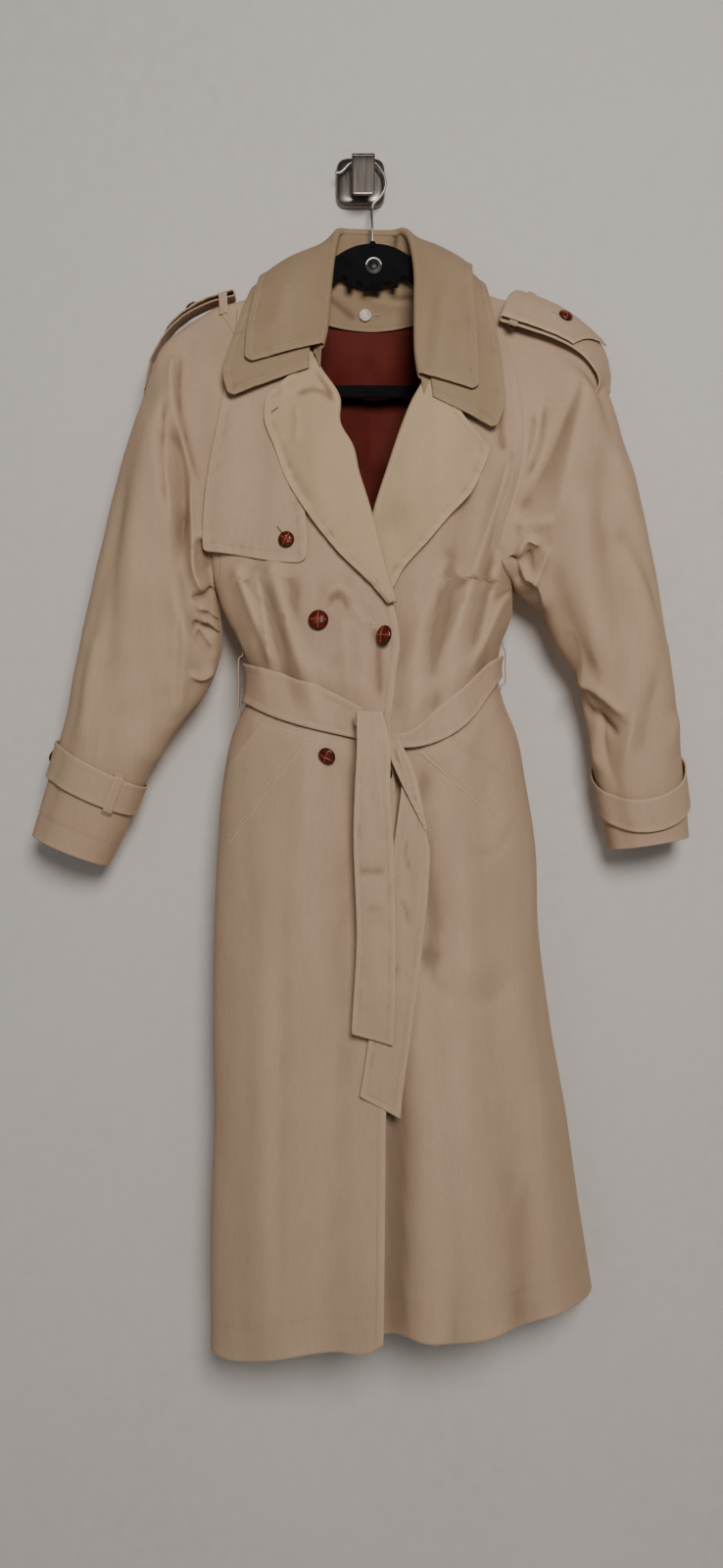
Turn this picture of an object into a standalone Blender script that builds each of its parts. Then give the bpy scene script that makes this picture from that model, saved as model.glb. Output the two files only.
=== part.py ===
# A belted trench coat, open at the neck, on a slim hanger from a wall hook.
# Tables are in millimetres: x to the right, z up, d is the depth in front of the wall.
# The origin is the middle of the hook plate's back, which lies on the wall.

import bpy
import bmesh
import numpy as np

metresPerMm = 0.001

# Driving sizes
clothWall = 2.0          # one wall of cloth, with its seam allowances
seamHalfGap = 0.35       # each side of a seam stands back this far
layerGap = 0.6           # between a piece and what it lies on
neckCentre = 13.0        # x of the hanger's shank, the middle of the shoulders
neckHalf = 58.0          # from there to the neck end of a shoulder seam
armholeRight = -149.0    # x of the armhole seams, wearer's right and left
armholeLeft = 157.0
underarm = -440.0        # z of both underarms
hangerDepth = 36.0       # middle plane of the hanger
hangerThickness = 5.0

beige = (0.40, 0.30, 0.21)
rust = (0.16, 0.030, 0.014)

# The torso, hem to shoulders: where its two sides and its front and back lie
torsoColumns = ("z", "left", "right", "sideLeft", "sideRight", "front", "back", "fullLeft", "fullRight")
torsoRows = (
    (-60, -195, 212, 44, 44, 82, 12.5, 2.4, 2.4),
    (-150, -195, 212, 44, 44, 86, 12.5, 2.4, 2.4),
    (-220, -195, 212, 45, 45, 92, 8.5, 2.4, 2.4),
    (-300, -192, 208, 48, 46, 99, 6.5, 2.4, 2.4),
    (-370, -180, 192, 54, 48, 104, 6.5, 2.3, 2.3),
    (-415, -160, 170, 58, 48, 107, 6.5, 2.2, 2.2),
    (-440, -149, 157, 60, 48, 109, 6.5, 2.2, 2.1),
    (-470, -138, 155, 60, 48, 110, 6.5, 2.2, 2.0),
    (-500, -122, 144, 59, 49, 111, 7.0, 2.2, 2.0),
    (-530, -113, 141, 59, 50, 112, 8.5, 2.2, 1.9),
    (-555, -115, 146, 60, 50, 114, 8.5, 2.2, 1.8),
    (-590, -130, 160, 60, 49, 117, 7.0, 2.2, 1.7),
    (-640, -140, 170, 60, 47, 117, 6.5, 2.2, 1.7),
    (-700, -145, 180, 60, 44, 118, 6.5, 2.2, 1.6),
    (-790, -149, 184, 60, 40, 122, 6.5, 2.2, 1.6),
    (-890, -150, 197, 60, 38, 126, 6.5, 2.2, 1.6),
    (-980, -149, 213, 60, 36, 130, 6.5, 2.2, 1.6),
    (-1070, -152, 226, 61, 34, 133, 6.5, 2.2, 1.6),
    (-1215, -152, 249, 64, 30, 134, 6.5, 2.2, 1.6),
)

# The shoulder seam by its distance out from the neck's centre
shoulderRows = ((0, -78), (40, -86), (58, -96), (79, -111), (102, -127), (126, -138), (144, -144), (170, -151))
ridgeNear = 38.0         # depth of the shoulder seam at the neck
ridgeFar = 44.0          # and at the armhole
ridgeRound = 8.0         # radius over the hanger's arm
frontFall = 130.0        # the front reaches its full depth this far below the seam
backFall = 58.0
backNeckDrop = 18.0      # the back neck dips this far below the neck ends

# Large soft folds: x and z of the top, x and z of the end, width, and height, which is
# below zero for a trough
frontFolds = (
    (-62, -600, -78, -1330, 20, 5),
    (-108, -650, -112, -1330, 14, -4),
    (-20, -650, -30, -1330, 22, -4),
    (-122, -440, -88, -570, 9, 5),
    (-100, -430, -60, -580, 9, -4),
    (-84, -430, -36, -590, 8, 4),
    (120, -300, 96, -560, 12, 5),
    (142, -330, 118, -560, 9, -5),
    (84, -430, 72, -580, 9, -4),
    (60, -450, 52, -600, 9, 4),
    (58, -650, 100, -1330, 20, -6),
    (92, -640, 142, -1330, 22, 7),
    (138, -680, 196, -1330, 18, -5),
)
backFolds = (
    (-90, -600, -100, -1330, 26, 9),
    (-10, -600, -20, -1330, 30, 11),
    (80, -600, 110, -1330, 28, 10),
    (-60, -330, -40, -560, 20, 5),
    (70, -330, 60, -560, 20, 5),
)

# Hem of the front by x, and of the back
hemRows = ((-160, -1214), (-118, -1210), (-63, -1195), (-25, -1189), (8, -1187), (20, -1180),
           (61, -1180), (100, -1180), (130, -1176), (161, -1172), (194, -1168), (217, -1166), (250, -1163))
backHemRows = ((-160, -1214), (-60, -1200), (50, -1188), (150, -1177), (250, -1163))

# Front edges: the roll of each lapel above the lap, the edge of each front below it
edgeRightRows = ((-80, -54), (-205, -54), (-228, -43), (-260, -24), (-287, -23), (-309, -11), (-335, -5), (-364, 4),
                 (-393, 12), (-432, 22), (-470, 33), (-503, 38), (-536, 34), (-604, 29), (-642, 33),
                 (-737, 32), (-831, 28), (-963, 24), (-1065, 23), (-1230, 21))
edgeLeftRows = ((-80, 80), (-215, 80), (-246, 63), (-259, 56), (-289, 44), (-334, 29), (-367, 18), (-417, 3),
                (-480, -22), (-560, -44), (-1230, -48))

# Lapels: outer edge by the share of the roll's length
lapelRightTop, lapelRightEnd = -232.0, -464.0
lapelRightRows = ((0.0, -94, -256), (0.08, -95, -275), (0.3, -84, -311), (0.44, -72, -343), (0.57, -54, -373),
                  (0.70, -34, -400), (0.81, -16, -421), (0.92, 10, -446), (1.0, 27, -466))
lapelLeftTop, lapelLeftEnd = -256.0, -478.0
lapelLeftRows = ((0.0, 124, -303), (0.07, 127, -311), (0.17, 120, -333), (0.28, 109, -354), (0.42, 87, -378),
                 (0.56, 67, -402), (0.70, 43, -428), (0.84, 26, -457), (1.0, -8, -488))
lapelLift = 9.2          # outer face of a lapel above the front at its roll
lapelEdgeLift = 6.7      # and at its outer edge
lapDrop = 13.0           # the left front lies this far under the right one at the lapels
skirtDrop = 5.0          # and this far below the waist

liningWall = 1.2
liningInset = 2          # columns of the back left out at each side
liningLevels = (-190, -545)   # levels of the back between which it shows

# Collar, from the wearer's right front, round the back, to the left front: the roll's x, z
# and d, the under leaf's edge x, z and d, where the upper leaf ends between the two, its bow
collarRows = (
    (-42, -228, 100, -130, -258, 98, 0.75, 2),
    (-41, -208, 97, -136, -234, 95, 0.75, 3),
    (-38, -190, 91, -131, -208, 88, 0.80, 4),
    (-36, -160, 79, -124, -182, 78, 0.84, 5),
    (-34, -125, 62, -117, -154, 68, 0.86, 6),
    (-32, -100, 47, -110, -130, 48, 0.86, 8),
    (-29, -80, 34, -100, -131, 28, 0.86, 10),
    (-24, -63, 22, -78, -150, 11, 0.86, 7),
    (-12, -59, 17, -36, -156, 8.0, 0.86, 3),
    (13, -60, 16, 13, -157, 7.2, 0.86, 2),
    (36, -60, 17, 62, -156, 8.0, 0.86, 3),
    (46, -62, 22, 100, -151, 11, 0.85, 7),
    (54, -75, 34, 118, -127, 27, 0.80, 10),
    (58, -96, 47, 127, -127, 49, 0.76, 9),
    (60, -125, 62, 132, -154, 68, 0.72, 6),
    (59, -165, 79, 138, -195, 80, 0.70, 5),
    (59, -212, 92, 142, -238, 92, 0.68, 4),
    (62, -238, 98, 143, -264, 97, 0.66, 3),
    (65, -256, 101, 134, -291, 100, 0.66, 2),
)
collarStationCount = 27
collarUpperLift = 4.9    # the upper leaf stands this far out from the under leaf

# Inside of the collar stand: its lower edge, station by station like the collar
facingRows = (
    (-46, -212, 90), (-46, -192, 82), (-46, -160, 66), (-45, -128, 52), (-40, -104, 42), (-35, -89, 35),
    (-34, -92, 31), (-32, -150, 23), (-12, -160, 20), (13, -162, 18.6), (38, -160, 20), (57, -150, 23),
    (59, -92, 31), (62, -88, 36), (68, -104, 44), (70, -128, 52), (70, -164, 68), (70, -208, 84), (71, -234, 92),
)

# Sleeves, armhole to cuff: x and z of the outer and of the inner edge, front and back depth
sleeveRightRows = (
    (-150.4, -149, -150.4, -440, 92, 9), (-178, -169, -147, -452, 93, 9), (-201, -190, -145, -466, 94, 9),
    (-214, -219, -143, -482, 95, 8), (-231, -275, -143, -502, 95, 8), (-249, -330, -149, -528, 94, 8),
    (-264, -390, -162, -552, 92, 8), (-278, -450, -180, -574, 89, 7), (-290, -505, -196, -596, 86, 7),
    (-301, -561, -212, -622, 82, 7), (-313, -607, -227, -650, 79, 7), (-326, -650, -242, -688, 77, 7),
    (-339, -694, -261, -726, 75, 7),
)
sleeveLeftRows = (
    (158.6, -147, 158.6, -440, 88, 9), (188, -161, 160, -446, 90, 9), (214, -177, 168, -452, 92, 9),
    (233, -196, 178, -458, 93, 8), (248, -226, 187, -466, 93, 8), (265, -275, 193, -482, 92, 8),
    (282, -335, 203, -502, 90, 8), (297, -400, 216, -520, 88, 7), (309, -460, 226, -540, 86, 7),
    (319, -515, 231, -568, 84, 7), (326, -570, 237, -602, 82, 7), (331, -620, 244, -640, 80, 7),
    (336, -660, 251, -676, 78, 7), (339, -696, 258, -709, 76, 7),
)
# Large sleeve folds: angle round the sleeve (90 is the front), how far it turns, its start
# and end along the sleeve, width in degrees, height
sleeveRightFolds = (
    (60, -6, -0.1, 0.75, 16, 5), (92, 6, -0.1, 0.7, 14, -4), (120, 14, 0.02, 0.5, 12, 5),
    (150, -16, 0.05, 0.42, 10, -5), (40, 4, 0.2, 1.1, 16, -3), (110, 40, 0.38, 0.62, 11, 5),
)
sleeveLeftFolds = (
    (120, 6, -0.1, 0.75, 16, 5), (88, -6, -0.1, 0.7, 14, -4), (60, -14, 0.02, 0.5, 12, 5),
    (30, 16, 0.05, 0.42, 10, -5), (140, -4, 0.2, 1.1, 16, -3), (75, -60, 0.42, 0.68, 12, -7),
)

# Cuff straps: where each starts round the sleeve and how far it goes, its middle and half
# width as shares of the sleeve's length, its dip at the front, its slack, loop and button
cuffRight = {"from": -30, "turn": 385, "middle": 0.85, "dip": 0.008, "halfWidth": 0.033, "slack": 2.5,
             "loopAngle": 122, "buttonAngle": 346}
cuffLeft = {"from": -60, "turn": 385, "middle": 0.876, "dip": 0.058, "halfWidth": 0.035, "slack": 2.5,
            "loopAngle": 236, "buttonAngle": 314}
cuffWall = 1.6
loopWall = 1.2
cuffLapStart = 325.0     # degrees from the strap's start to where its end begins to lap over
cuffLapRise = 30.0       # and over which it rises to the second layer
cuffPointRun = 16.0      # degrees of its tapered end
cuffPointTaper = 0.75
cuffLoopShares = (-1.32, -1.16, -1.0, 0.0, 1.0, 1.16, 1.32)   # round the strap's half width

# Storm flap on the right front: left edge, right edge and bottom edge
flapLeftRows = ((-150, -147), (-262, -143), (-331, -146), (-411, -146))
flapRightRows = ((-150, -68), (-240, -72), (-330, -62), (-380, -54), (-430, -52))
flapLevels = (-150.0, -415.0)
flapLift = 3.6           # outer face above the front
flapTopGap = 6.0         # below the shoulder seam
flapTopSlope = 14.0      # and lower by this much towards the armhole, from flapTopTurn on
flapTopTurn = -124.0
flapBottomRows = ((-150, -410), (-126, -413), (-100, -419), (-80, -423), (-64, -423), (-57, -420), (-52, -411))

# Pocket welts: corners in order, opening's ends and then the lower seam's
weltRight = ((-94, -578), (-135, -628), (-132, -703), (-50, -598))
weltLeft = ((80, -590), (164, -650), (152, -694), (57, -611))

# Belt: its upper and lower edge by the share of the way round, from the wearer's right side
# (-1) to the left one (1), on each front and on the back
beltRightRows = ((-1.0, -519, -559), (-0.86, -527, -568), (-0.62, -538, -580), (-0.38, -550, -589),
                 (-0.10, -569, -598))
beltLeftRows = ((0.07, -594, -604), (0.18, -593, -606), (0.40, -572, -600), (0.66, -547, -578),
                (0.86, -524, -552), (1.0, -510, -532))
beltBackRows = ((-1.0, -519, -557), (-0.5, -524.2, -558.2), (0.0, -524.5, -554.5), (0.5, -519.8, -545.8),
                (1.0, -510, -532))
beltLift = 4.8           # outer face above the coat
beltWall = 2.2
knotBox = (-1, 27, -577, -607)   # x and z limits
knotRings = ((122.1, 0.86), (124.5, 1.0), (129.0, 1.0), (131.7, 0.84))   # depth, share of its size
# Tails, from the knot down: z, left x, right x, depth
tailTopRows = ((-585, -5, 21, 132.2), (-577, -5, 21, 135), (-572, -4, 21, 138), (-576, -3, 21, 141),
               (-590, -3, 25, 141.5), (-610, -3, 28, 141), (-650, -5, 28, 139), (-700, -6, 31, 138),
               (-785, -3, 33, 137), (-850, -6, 33, 136.5), (-880, -8, 31, 136), (-888, -2, 31, 136))
tailUnderRows = ((-598, 26.8, 37, 126), (-606, 28, 42, 127), (-627, 33, 52, 128), (-650, 33, 58, 128.5),
                 (-700, 27, 65, 129), (-760, 26, 64, 130), (-824, 17, 55, 131), (-884, 9, 48, 131.5),
                 (-938, 1, 41, 132), (-958, 25, 38.5, 132.3))
tailWall = 2.2

# Belt loops: z down the side, where each leaves the coat, passes over the belt and returns
beltLoopRight = {"levels": (-510, -512, -517, -540, -564, -569, -571), "depth": 60.0, "half": 4.5, "wall": 1.4}
beltLoopLeft = {"levels": (-498, -500, -505, -520, -537, -541, -543), "depth": 50.0, "half": 0.9, "wall": 1.2}
loopFootRise = 1.2

# Epaulettes, sleeve head to neck: front edge and back edge of the strap's under layer, and its bow
epauletteRightRows = (
    (-221, -236, 55, -222, -234, 28, 0), (-216, -213, 55, -220, -208, 24, 1), (-213, -202, 55, -216, -196, 22, 1),
    (-198, -178, 55, -200, -172, 22, 1), (-180, -161, 54, -182, -155, 22, 1), (-157, -149, 54, -159, -143, 22, 1),
    (-131, -141, 53, -133, -135, 22, 1),
)
epauletteLeftRows = (
    (237, -254, 81, 260, -258, 54, 16), (241, -238, 79, 256, -219, 49, 4), (230, -220, 80, 249, -197, 46, 4),
    (212, -205, 79, 234, -179, 45, 7), (192, -195, 77, 212, -162, 44, 8), (170, -187, 75, 190, -151, 43, 8),
    (152, -181, 72, 166, -143, 42, 8),
)
# Where the upper layer ends on its front and back edge, in rows, and how far it stands off
tabRight = {"frontEnd": 3.2, "backEnd": 2.6, "nearLift": 9.0, "farLift": 4.4, "loopBack": 0.35, "buttonStation": 4,
            "fall": (14.0, 8.0), "rim": 1.07}
tabLeft = {"frontEnd": 3.1, "backEnd": 2.1, "nearLift": 7.2, "farLift": 4.8, "loopBack": 0.45, "buttonStation": 4,
           "fall": (62.0, 52.0), "rim": 1.02}
epauletteWall = 1.8

# Buttons: height and share of the radius up the dome; then x, z and radius of each
domeRows = ((0.0, 0.78), (1.4, 1.0), (3.6, 0.95), (5.6, 0.70), (6.8, 0.34))
strapButtonRadius = 7.5
neckButtonPlace = (5, -148, 19.3)
neckButtonRows = ((0, 6.4), (1.6, 6.4), (2.2, 5.2))
frontButtons = ((-41, -481, 10.0), (23, -497, 10.0), (-33, -615, 9.5), (26, -632, 9.5))
flapButton = (-72, -402, 8.0)

# Hanger: outer and inner outline by distance out from the shank
hangerRows = (
    (0, -80, 0, -128), (6, -80, 9.3, -128), (10, -80.5, 9.7, -122), (15, -81.5, 19, -119.5),
    (20, -83, 19.5, -125), (25, -85, 26, -125), (29, -87, 26.6, -117), (34, -90, 32, -113),
    (46, -97.5, 47, -128), (60, -106, 60, -124), (80, -119, 80, -131), (102, -135, 100, -147),
    (126, -148, 124, -160), (152, -159, 149, -171), (176, -175, 170, -185), (192, -192, 181, -196),
    (198, -210, 184, -210), (190, -228, 178, -220), (172, -240, 168, -227), (90, -240, 90, -227),
    (0, -240, 0, -227),
)
badgePlace = (13.6, -103.3, 38.8)
badgeRows = ((0, 8.6), (0.9, 8.6), (1.3, 7.6))
# The hanger's wire, tip to shank: x, z
hookWire = ((-27, 4), (-22, 4.4), (-17.5, 7.5), (-13.5, 12), (-9, 14.7), (-3, 15.1), (8, 15.1), (14.5, 14.6),
            (18.6, 11.0), (22, 6.3), (25.6, -1), (26.2, -9), (24, -16), (19.5, -22.5), (14.5, -27.5),
            (12.2, -33), (12, -48), (12.6, -79.7))
wireRadius = 1.4
wireDepth = 17.0
wireTurnZ = -33.0        # the shank runs back from here to the hanger's plane
wireTurnRun = 30.0

# Wall hook: depth and share of the plate's half width; the strap's path by depth and z
plateHalf = 26.0
plateSquare = 0.42       # power of the plate's rounded square, 1 for a circle
plateRows = ((0, 1.0), (5.0, 1.0), (7.2, 0.95), (8.6, 0.86), (9.4, 0.70))
strapHalf = 11.0
strapCentre = 3.0
strapWall = 3.0
strapPath = ((10.2, 9.3), (18, 11.9), (26, 14.0), (29, 14.3), (31, 13.2), (31.8, 11), (31.8, -8), (31.8, -26.5))


def column(rows, names, name):
    return np.array([row[names.index(name)] for row in rows], float)


def smoothRead(at, knots, values):
    # A cubic through the knots, its slopes taken from each knot's two neighbours
    knots = np.asarray(knots, float)
    values = np.asarray(values, float)
    slopes = np.gradient(values, knots)
    at = np.clip(at, knots[0], knots[-1])
    k = np.clip(np.searchsorted(knots, at, side="right") - 1, 0, len(knots) - 2)
    span = knots[k + 1] - knots[k]
    t = (at - knots[k]) / span
    rise = values[k + 1] - values[k]
    first = slopes[k] * span
    last = slopes[k + 1] * span
    return values[k] + first * t + (3 * rise - 2 * first - last) * t ** 2 + (first + last - 2 * rise) * t ** 3


def readDown(z, rows, place=1):
    # Reads a table whose first column is z, falling
    return smoothRead(-np.asarray(z, float), [-row[0] for row in rows], [row[place] for row in rows])


def readAcross(x, rows):
    return smoothRead(np.asarray(x, float), [row[0] for row in rows], [row[1] for row in rows])


def readRows(at, rows):
    # Every column of a table at fractional row numbers
    at = np.asarray(at, float)
    table = np.asarray(rows, float)
    return np.stack([smoothRead(at, np.arange(len(table)), table[:, k]) for k in range(table.shape[1])], -1)


def ease(t):
    t = np.clip(t, 0, 1)
    return t * t * (3 - 2 * t)


def unit(vectors):
    return vectors / np.linalg.norm(vectors, axis=-1, keepdims=True)


def torsoAt(z):
    down = [-row[0] for row in torsoRows]
    return {name: smoothRead(-z, down, column(torsoRows, torsoColumns, name)) for name in torsoColumns[1:]}


def shoulderZ(x):
    return readAcross(np.abs(np.asarray(x, float) - neckCentre), shoulderRows)


def hemZ(x):
    return readAcross(x, hemRows)


def backTop(x):
    # The shoulder seams, joined by the dip of the back neck
    out = np.abs(np.asarray(x, float) - neckCentre)
    dip = backNeckDrop * (1 - ease(out / neckHalf))
    return np.where(out < neckHalf, shoulderZ(neckCentre + neckHalf) - dip, shoulderZ(x))


def seamDepth(x):
    out = np.abs(x - neckCentre)
    return ridgeNear + (ridgeFar - ridgeNear) * np.clip((out - neckHalf) / 107, 0, 1)


def foldSum(x, z, folds):
    # Each fold is a bell across a line that runs from its top to its end
    total = np.zeros_like(x)
    for topX, topZ, endX, endZ, width, height in folds:
        along = (topZ - z) / (topZ - endZ)
        middle = topX + (endX - topX) * along
        fade = ease(along / 0.2) * ease((1 - along) / 0.2)
        total += height * fade * np.exp(-((x - middle) / width) ** 2)
    return total


def acrossTorso(x, z):
    t = torsoAt(z)
    middle = (t["left"] + t["right"]) / 2
    u = np.clip((x - middle) / ((t["right"] - t["left"]) / 2), -1, 1)
    side = t["sideLeft"] + (t["sideRight"] - t["sideLeft"]) * (u + 1) / 2
    return t, u, side


def frontDepth(x, z):
    # side depth + (front - side) * root of (1 - |u|^full), eased to the shoulder seam
    x, z = np.broadcast_arrays(np.asarray(x, float), np.asarray(z, float))
    t, u, side = acrossTorso(x, z)
    bow = np.sqrt(1 - np.abs(u) ** np.where(u < 0, t["fullLeft"], t["fullRight"]))
    depth = side + (t["front"] - side + foldSum(x, z, frontFolds)) * bow
    fall = np.clip(shoulderZ(x) - z, 0, None)
    rounding = ridgeRound * np.sqrt(1 - (1 - np.clip(fall / ridgeRound, 0, 1)) ** 2)
    share = 1 - (1 - np.clip(fall / frontFall, 0, 1)) ** 1.5
    return seamDepth(x) + rounding + (depth - seamDepth(x) - ridgeRound) * share


def backDepth(x, z):
    # side depth - (side - back) * fourth root of (1 - u^4), eased to the shoulder seam
    x, z = np.broadcast_arrays(np.asarray(x, float), np.asarray(z, float))
    t, u, side = acrossTorso(x, z)
    depth = side - (side - t["back"] - foldSum(x, z, backFolds)) * (1 - u ** 4) ** 0.25
    out = np.abs(x - neckCentre)
    ridge = t["back"] + (seamDepth(x) - t["back"]) * ease((out - 38) / 20)
    fall = np.clip(backTop(x) - z, 0, backFall)
    share = 0.65 * np.sqrt(1 - (1 - fall / backFall) ** 2) + 0.35 * fall / backFall
    return ridge + (depth - ridge) * share


def leftDepth(x, z):
    # The left front, which passes under the right one
    x, z = np.broadcast_arrays(np.asarray(x, float), np.asarray(z, float))
    drop = lapDrop * ease((-z - 340) / 60) + (skirtDrop - lapDrop) * ease((-z - 490) / 70)
    return frontDepth(x, z) - drop * ease((80 - x) / 52)


def onFront(x, z, lift, depthOf=frontDepth):
    # The point of the front at x, z moved out by lift along the surface's normal
    x, z, lift = np.broadcast_arrays(np.asarray(x, float), np.asarray(z, float), np.asarray(lift, float))
    step = 1.5
    acrossSlope = (depthOf(x + step, z) - depthOf(x - step, z)) / (2 * step)
    upSlope = (depthOf(x, z + step) - depthOf(x, z - step)) / (2 * step)
    size = np.sqrt(1 + acrossSlope ** 2 + upSlope ** 2)
    return np.stack([x - lift * acrossSlope / size, z - lift * upSlope / size, depthOf(x, z) + lift / size], -1)


def gridNormals(grid, closed=False):
    # Cross product of the two grid directions, from neighbours on each side
    around = np.roll(grid, -1, 0) - np.roll(grid, 1, 0) if closed else np.gradient(grid, axis=0)
    return unit(np.cross(around, np.gradient(grid, axis=1)))


def makeMaterial(name, color, roughness, metallic=0.0):
    material = bpy.data.materials.new(name)
    material.use_nodes = True
    shader = material.node_tree.nodes["Principled BSDF"]
    shader.inputs["Base Color"].default_value = (*color, 1.0)
    shader.inputs["Roughness"].default_value = roughness
    shader.inputs["Metallic"].default_value = metallic
    return material


def makeObject(name, points, faces, material):
    # Points come as (x, z, d) in millimetres; the wall is the plane y = 0
    points = np.asarray(points, float).reshape(-1, 3)
    placed = np.stack([points[:, 0], -points[:, 2], points[:, 1]], -1) * metresPerMm
    mesh = bpy.data.meshes.new(name)
    mesh.from_pydata(placed.tolist(), [], faces)
    shaped = bmesh.new()
    shaped.from_mesh(mesh)
    bmesh.ops.recalc_face_normals(shaped, faces=shaped.faces)
    shaped.to_mesh(mesh)
    shaped.free()
    mesh.shade_smooth()
    mesh.set_sharp_from_angle(angle=0.7)
    mesh.materials.append(material)
    item = bpy.data.objects.new(name, mesh)
    bpy.context.scene.collection.objects.link(item)
    return item


def makeWall(name, outer, material, thickness=clothWall, closed=False, facing=(0, 0, 1), fixed=()):
    # outer[i, j] is the outside of the cloth; the inside lies in along the normals.
    # facing is where the outside looks at the grid's middle; fixed holds set normals.
    normals = gridNormals(outer, closed)
    rows, columns = outer.shape[:2]
    probe = normals[rows // 4 if closed else rows // 2, columns // 2]
    if np.dot(probe, facing) < 0:
        normals = -normals
    for place, vector in fixed:
        normals[place] = vector
    inner = outer - thickness * normals
    count = rows * columns
    faces = []
    for i in range(rows if closed else rows - 1):
        a = i * columns
        b = (i + 1) % rows * columns
        for j in range(columns - 1):
            faces.append((a + j, b + j, b + j + 1, a + j + 1))
            faces.append((count + a + j, count + a + j + 1, count + b + j + 1, count + b + j))
        for j in (0, columns - 1):
            faces.append((a + j, b + j, count + b + j, count + a + j))
    for i in (() if closed else (0, rows - 1)):
        for a in range(i * columns, (i + 1) * columns - 1):
            faces.append((a, a + 1, count + a + 1, count + a))
    return makeObject(name, np.concatenate([outer.reshape(-1, 3), inner.reshape(-1, 3)]), faces, material)


def makeStack(name, rings, material):
    # Rings of equal length joined in order, the first and last one capped
    rings = np.asarray(rings, float)
    layers, count = rings.shape[:2]
    faces = [tuple(range(count)), tuple(range(layers * count - 1, (layers - 1) * count - 1, -1))]
    for k in range(layers - 1):
        for i in range(count):
            a = k * count + i
            b = k * count + (i + 1) % count
            faces.append((a, b, b + count, a + count))
    return makeObject(name, rings, faces, material)


def makeTurned(name, origin, axis, profile, material, sides=12):
    # A profile of (height, radius) turned about the axis
    axis = unit(np.asarray(axis, float))
    across = unit(np.cross(axis, (0.02, 1.0, 0.0)))
    other = np.cross(axis, across)
    turn = 2 * np.pi * np.arange(sides) / sides
    rim = np.cos(turn)[:, None] * across + np.sin(turn)[:, None] * other
    rings = [np.asarray(origin) + height * axis + radius * rim for height, radius in profile]
    return makeStack(name, rings, material)


def buttonShape(radius):
    # A leather button: a low dome on a shallow bevel
    return [(height, radius * share) for height, share in domeRows]


def clearScene():
    for item in list(bpy.data.objects):
        bpy.data.objects.remove(item, do_unlink=True)


frontLevels = np.array((-150, -152, -158, -172, -192, -220, -255, -300, -350, -400, -440, -474, -505, -535,
                        -565, -605, -660, -740, -840, -940, -1040, -1120, -1180), float)


def panelRows(levels, topOf, hemOf, x):
    # Level rows, blended into the shoulder seam at the top and the hem at the bottom
    up = ease((levels + 300) / 150)
    down = ease((-levels - 1050) / 130)
    return levels + up * (topOf(x) - levels[0]) + down * (hemOf(x) - levels[-1])


def makeFront(name, isRight, columns, cloth):
    # Columns run from the armhole and side seam to the roll and front edge
    depthOf = frontDepth if isRight else leftDepth
    share = np.linspace(0, 1, columns)[:, None]
    z = np.repeat(frontLevels[None, :], columns, 0)
    for _ in range(3):
        t = torsoAt(z)
        outside = np.where(frontLevels > underarm, armholeRight if isRight else armholeLeft,
                           t["left"] if isRight else t["right"])
        edge = readDown(z, edgeRightRows if isRight else edgeLeftRows)
        middle = (t["left"] + t["right"]) / 2
        half = (t["right"] - t["left"]) / 2
        start = np.arccos(np.clip((middle - outside) / half, -1, 1))
        end = np.arccos(np.clip((middle - edge) / half, -1, 1))
        x = middle - half * np.cos(start + (end - start) * share)
        z = panelRows(frontLevels, shoulderZ, hemZ, x)
    d = depthOf(x, z)
    d[:, 0] += seamHalfGap
    below = slice(int(np.argmax(frontLevels <= underarm)), None)
    d[0, below] += seamHalfGap
    outward = (-1.0 if isRight else 1.0, 0, 0)
    fixed = ((np.s_[:, 0], (0, 1.0, 0)), (np.s_[0, below], outward))
    return makeWall(name, np.stack([x, z, d], -1), cloth, fixed=fixed)


def makeBack(cloth, lining):
    columns = 15
    share = np.linspace(0, 1, columns)[:, None]
    z = np.repeat(frontLevels[None, :], columns, 0)
    for _ in range(3):
        t = torsoAt(z)
        left = np.where(frontLevels > underarm, armholeRight, t["left"])
        right = np.where(frontLevels > underarm, armholeLeft, t["right"])
        spread = share * 0.7 + 0.3 * (1 - np.cos(np.pi * share)) / 2
        x = left + (right - left) * spread
        z = panelRows(frontLevels, backTop, lambda at: readAcross(at, backHemRows), x)
    d = backDepth(x, z)
    d[:, 0] -= seamHalfGap
    below = slice(int(np.argmax(frontLevels <= underarm)), None)
    d[0, below] -= seamHalfGap
    d[-1, below] -= seamHalfGap
    overSeam = np.s_[np.abs(x[:, 0] - neckCentre) > neckHalf - 12, 0]
    fixed = ((overSeam, (0, 1.0, 0)), (np.s_[0, below], (-1.0, 0, 0)), (np.s_[-1, below], (1.0, 0, 0)))
    grid = np.stack([x, z, d], -1)
    makeWall("back", grid, cloth, facing=(0, 0, -1), fixed=fixed)
    # The lining is made from the back's own points, moved in
    start, end = (int(np.argmax(frontLevels <= level)) for level in liningLevels)
    shown = np.s_[liningInset:columns - liningInset, start:end + 1]
    inward = gridNormals(grid)[shown]
    inward = inward * np.sign(inward[..., 2:3])
    rise = clothWall + layerGap + liningWall
    makeWall("lining_back", grid[shown] + rise * inward, lining, liningWall)


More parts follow.
